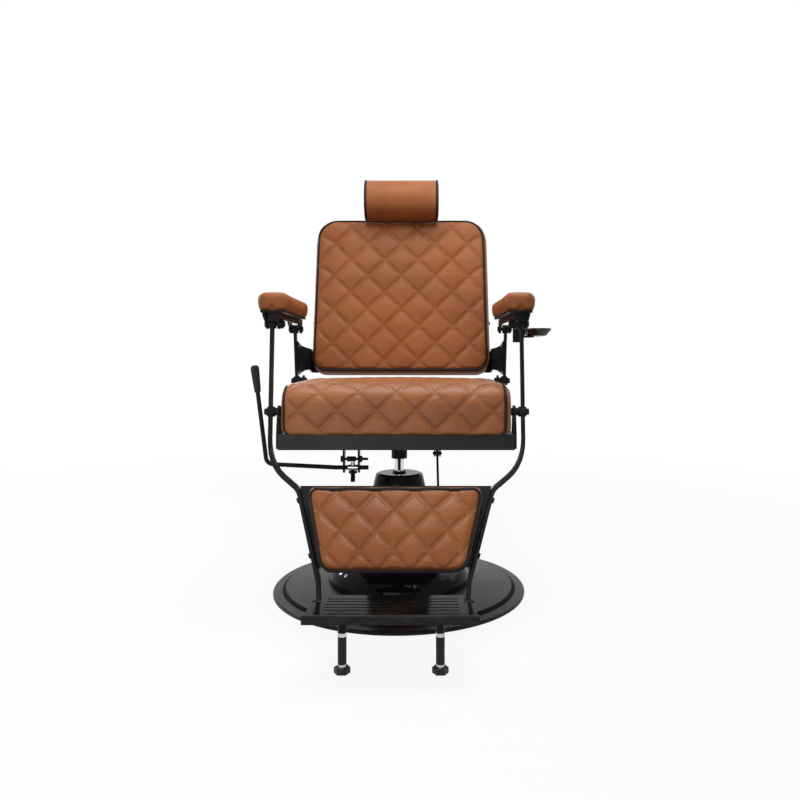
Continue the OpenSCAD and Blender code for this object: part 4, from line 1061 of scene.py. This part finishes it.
armPad = {
    **smoothPad, "width": 0.339, "length": 0.078, "height": 0.045, "nearRadius": 0.018, "farRadius": 0.018,
    "sideRadius": 0.017, "nearCorner": 0.020, "farCorner": 0.020, "capDraw": -0.0015, "crown": 0.003,
    "undercut": 0.005, "farUndercut": 0.005, "sideDraw": -0.0015, "footRadius": 0.006, "grid": 0.0045,
    "cap": 0.0018,
}
armPlace = turned((0.2715, -0.095, 0.7782), ("Z", 90)) @ Matrix.Scale(-1, 4, (0, 1, 0))
leftArmPad = {**armPad, "place": Matrix.Scale(-1, 4, (1, 0, 0)) @ armPlace}
rightArmPad = {**armPad, "place": armPlace}

pads = [seatPad, backPad, calfPad, headPad, leftArmPad, rightArmPad]
buildPad("seatUpholstery", seatPad, "seat", "seat_cushion")
buildPad("backUpholstery", backPad, "backrest", "back_cushion")
buildPad("calfUpholstery", calfPad, "legrest", "calf_cushion")
buildPad("headrestUpholstery", headPad, "headrest", "headrest_cushion")
buildPad("armUpholsteryLeft", leftArmPad, "armrest_left", "arm_pad_left")
buildPad("armUpholsteryRight", rightArmPad, "armrest_right", "arm_pad_right")
for pad in pads:
    pad["rawPipes"] = settlePipes(pad)
print("pads shaped")

for pad in pads:
    addFilling(pad)
for step in range(1, filling["frames"] + 1):
    bpy.context.scene.frame_set(step)
for pad in pads:
    takeFilling(pad)
bpy.context.scene.frame_set(1)
print("pads filled")

for pad in pads:
    refine(pad)
    pad["laidPipes"] = settlePipes(pad)
    sewPad(pad)
print("pads sewn")

# padded pieces: piping and stitch rows

pipingCord = {"Cord Radius": 0.0040, "Sides": 12, "Spacing": 0.004}
threadStitch = {"Pitch": 0.0056, "Stitch Length": 0.0044, "Thread Radius": 0.0007}
seamSearch = {"rise": 0.0004, "step": 0.004, "margin": 0.004, "cornerCut": 0.006, "bareShare": 0.05,
              "sewnShare": 0.3, "smallFace": 1e-9, "largeFace": 4e-4, "miss": 0.001}


def insidePanel(pad, x, along):
    # whether a seam point lies inside the piping
    margin = seamSearch["margin"]
    if pad["piping"] == "sides":
        return pad["pipes"][0] + margin < x < pad["pipes"][1] - margin
    x0, x1, y0, y1 = panelBox(pad)
    if not (x0 + margin < x < x1 - margin and y0 + margin < along < y1 - margin):
        return False
    for cornerX, sideX in ((x0, 1), (x1, -1)):
        for cornerY, sideY, key in ((y0, 1, "nearCorner"), (y1, -1, "farCorner")):
            radius = pad[key] - seamSearch["cornerCut"]
            inX = radius - sideX * (x - cornerX)
            inY = radius - sideY * (along - cornerY)
            if inX > 0 and inY > 0 and math.hypot(inX, inY) > radius - margin:
                return False
    return True


def seamRows(pad):
    # the quilting rows, found in the flat (across, run) plane and lifted onto the finished mesh
    mesh = pad["piece"].data
    points, normals = readPoints(mesh), readNormals(mesh)
    across, run, quilted = (readValues(mesh, label) for label in ("across", "run", "quilted"))
    flat = np.stack([across, run, np.zeros(len(run))], 1).tolist()
    faces = np.array([face.vertices[:] for face in mesh.polygons if len(face.vertices) == 4])
    area = np.ptp(across[faces], axis=1) * np.ptp(run[faces], axis=1)
    faces = faces[(quilted[faces].min(1) > seamSearch["bareShare"]) & (area > seamSearch["smallFace"])
                  & (area < seamSearch["largeFace"])].tolist()
    tree = BVHTree.FromPolygons(flat, faces)
    half = pad["rowGap"] / 2 * math.hypot(1 / pad["pitch"], 1 / pad["runPitch"])
    sewnRuns = run[quilted > seamSearch["sewnShare"]]
    lowRun, highRun = sewnRuns.min(), sewnRuns.max()
    reach = int(pad["width"] / 2 / pad["pitch"] + (highRun - lowRun) / pad["runPitch"] + 2)
    rows = []
    for sign, n, side in itertools.product((1, -1), range(-reach, reach + 1), (-half, half)):
        path = []
        x = -pad["width"] / 2
        while x <= pad["width"] / 2:
            r = pad["first"] + sign * (n + side - x / pad["pitch"]) * pad["runPitch"]
            point = None
            if lowRun < r < highRun:
                point = liftPoint(pad, tree, faces, flat, points, normals, x, r)
            if point is None:
                rows.append(path)
                path = []
            else:
                path.append(point)
            x += seamSearch["step"]
        rows.append(path)
    return [(smoothPath(path, False, 2), False) for path in rows if len(path) > 3]


def liftPoint(pad, tree, faces, flat, points, normals, x, r):
    hit = tree.find_nearest((x, r, 0.0))
    if hit[0] is None or hit[3] > seamSearch["miss"]:
        return None
    ids = faces[hit[2]]
    weights = [1 / (math.hypot(flat[i][0] - x, flat[i][1] - r) + 1e-6) for i in ids]
    place, out = (sum((row[i] * w for i, w in zip(ids, weights)), np.zeros(3)) / sum(weights)
                  for row in (points, normals))
    if not insidePanel(pad, place[0] / slimAt(pad, place[1]), place[1]):
        return None
    return place + out * seamSearch["rise"]


def addTrim(name, tree, paths, values, pad, finishName):
    piece = runTree(name, tree, pathMesh(name, paths), {**values, "Finish": finishes[finishName]})
    piece.data.transform(pad["place"])
    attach(piece, pad["body"])


for pad in pads:
    piece = pad["piece"]
    cords = settlePipes(pad, pad["lift"])
    if cords:
        addTrim(pad["name"] + "Piping", pipingTree, cords, pipingCord, pad, "piping")
    if pad["pitch"]:
        addTrim(pad["name"] + "Stitches", stitchTree, seamRows(pad), threadStitch, pad, "thread")
    piece.data.transform(pad["place"])
    if pad["place"].determinant() < 0:
        piece.data.flip_normals()
    dress(piece, pad["finish"])
    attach(piece, pad["body"])
    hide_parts(*pad["nodes"])
print("piping and stitches laid")

# back of the backrest: leather turned over the board, and the cover's screws

boardWrap = {
    "halfWidth": 0.2725, "low": 0.002, "high": 0.501, "lowRadius": 0.040, "highRadius": 0.062,
    "rows": ((0.0612, 0.0008), (0.0660, 0.0014), (0.0710, 0.0012), (0.0736, 0.0002), (0.07402, -0.0035),
             (0.07402, -0.035)),  # depth, and how far outside the board's outline
    "hemScale": 0.85, "middle": 0.25,  # the last row is drawn in towards the middle of the board
    "thickness": 0.0006,
}
coverScrews = {"halfWidth": 0.204, "low": 0.038, "high": 0.468, "across": 3, "up": 4, "depth": 0.1000,
               "radius": 0.0048}


def wrapBoard():
    half, low, high = boardWrap["halfWidth"], boardWrap["low"], boardWrap["high"]
    near, far = boardWrap["lowRadius"], boardWrap["highRadius"]
    rings = []
    for depth, grow in boardWrap["rows"]:
        outline = roundedPath([
            (half - near, low + near, near + grow, -90), (half - far, high - far, far + grow, 0),
            (far - half, high - far, far + grow, 90), (near - half, low + near, near + grow, 180)])
        rings.append([(x, depth, up) for x, up in outline])
    scale, middle = boardWrap["hemScale"], boardWrap["middle"]
    rings[-1] = [(x * scale, depth, middle + (up - middle) * scale) for x, depth, up in rings[-1]]
    piece = addObject("backBoardWrap", addMesh("backBoardWrap", sum(rings, []), [],
                                               bandFaces(len(rings), len(rings[0]))))
    solid = piece.modifiers.new("leatherThickness", "SOLIDIFY")
    solid.thickness = boardWrap["thickness"]
    solid.offset = 0
    applyModifiers(piece)
    faceOutwards(piece.data)
    piece.data.transform(turned(*backPlace))
    dress(piece, "leather")
    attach(piece, "backrest")


def screwCover():
    low, high, across = coverScrews["low"], coverScrews["high"], coverScrews["halfWidth"]
    ups = [low + (high - low) * i / (coverScrews["up"] - 1) for i in range(coverScrews["up"])]
    sides = [-across + 2 * across * i / (coverScrews["across"] - 1) for i in range(coverScrews["across"])]
    places = set(itertools.product((-across, across), ups)) | set(itertools.product(sides, (low, high)))
    source = addMesh("coverScrewPlaces", [(x, coverScrews["depth"], up) for x, up in sorted(places)], [], [])
    piece = runTree("backCoverScrews", makeScrewTree(), source, {
        "Head Radius": coverScrews["radius"], "Finish": finishes["zinc"]})
    piece.data.transform(turned(*backPlace))
    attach(piece, "backrest")


wrapBoard()
screwCover()
print("back finished")
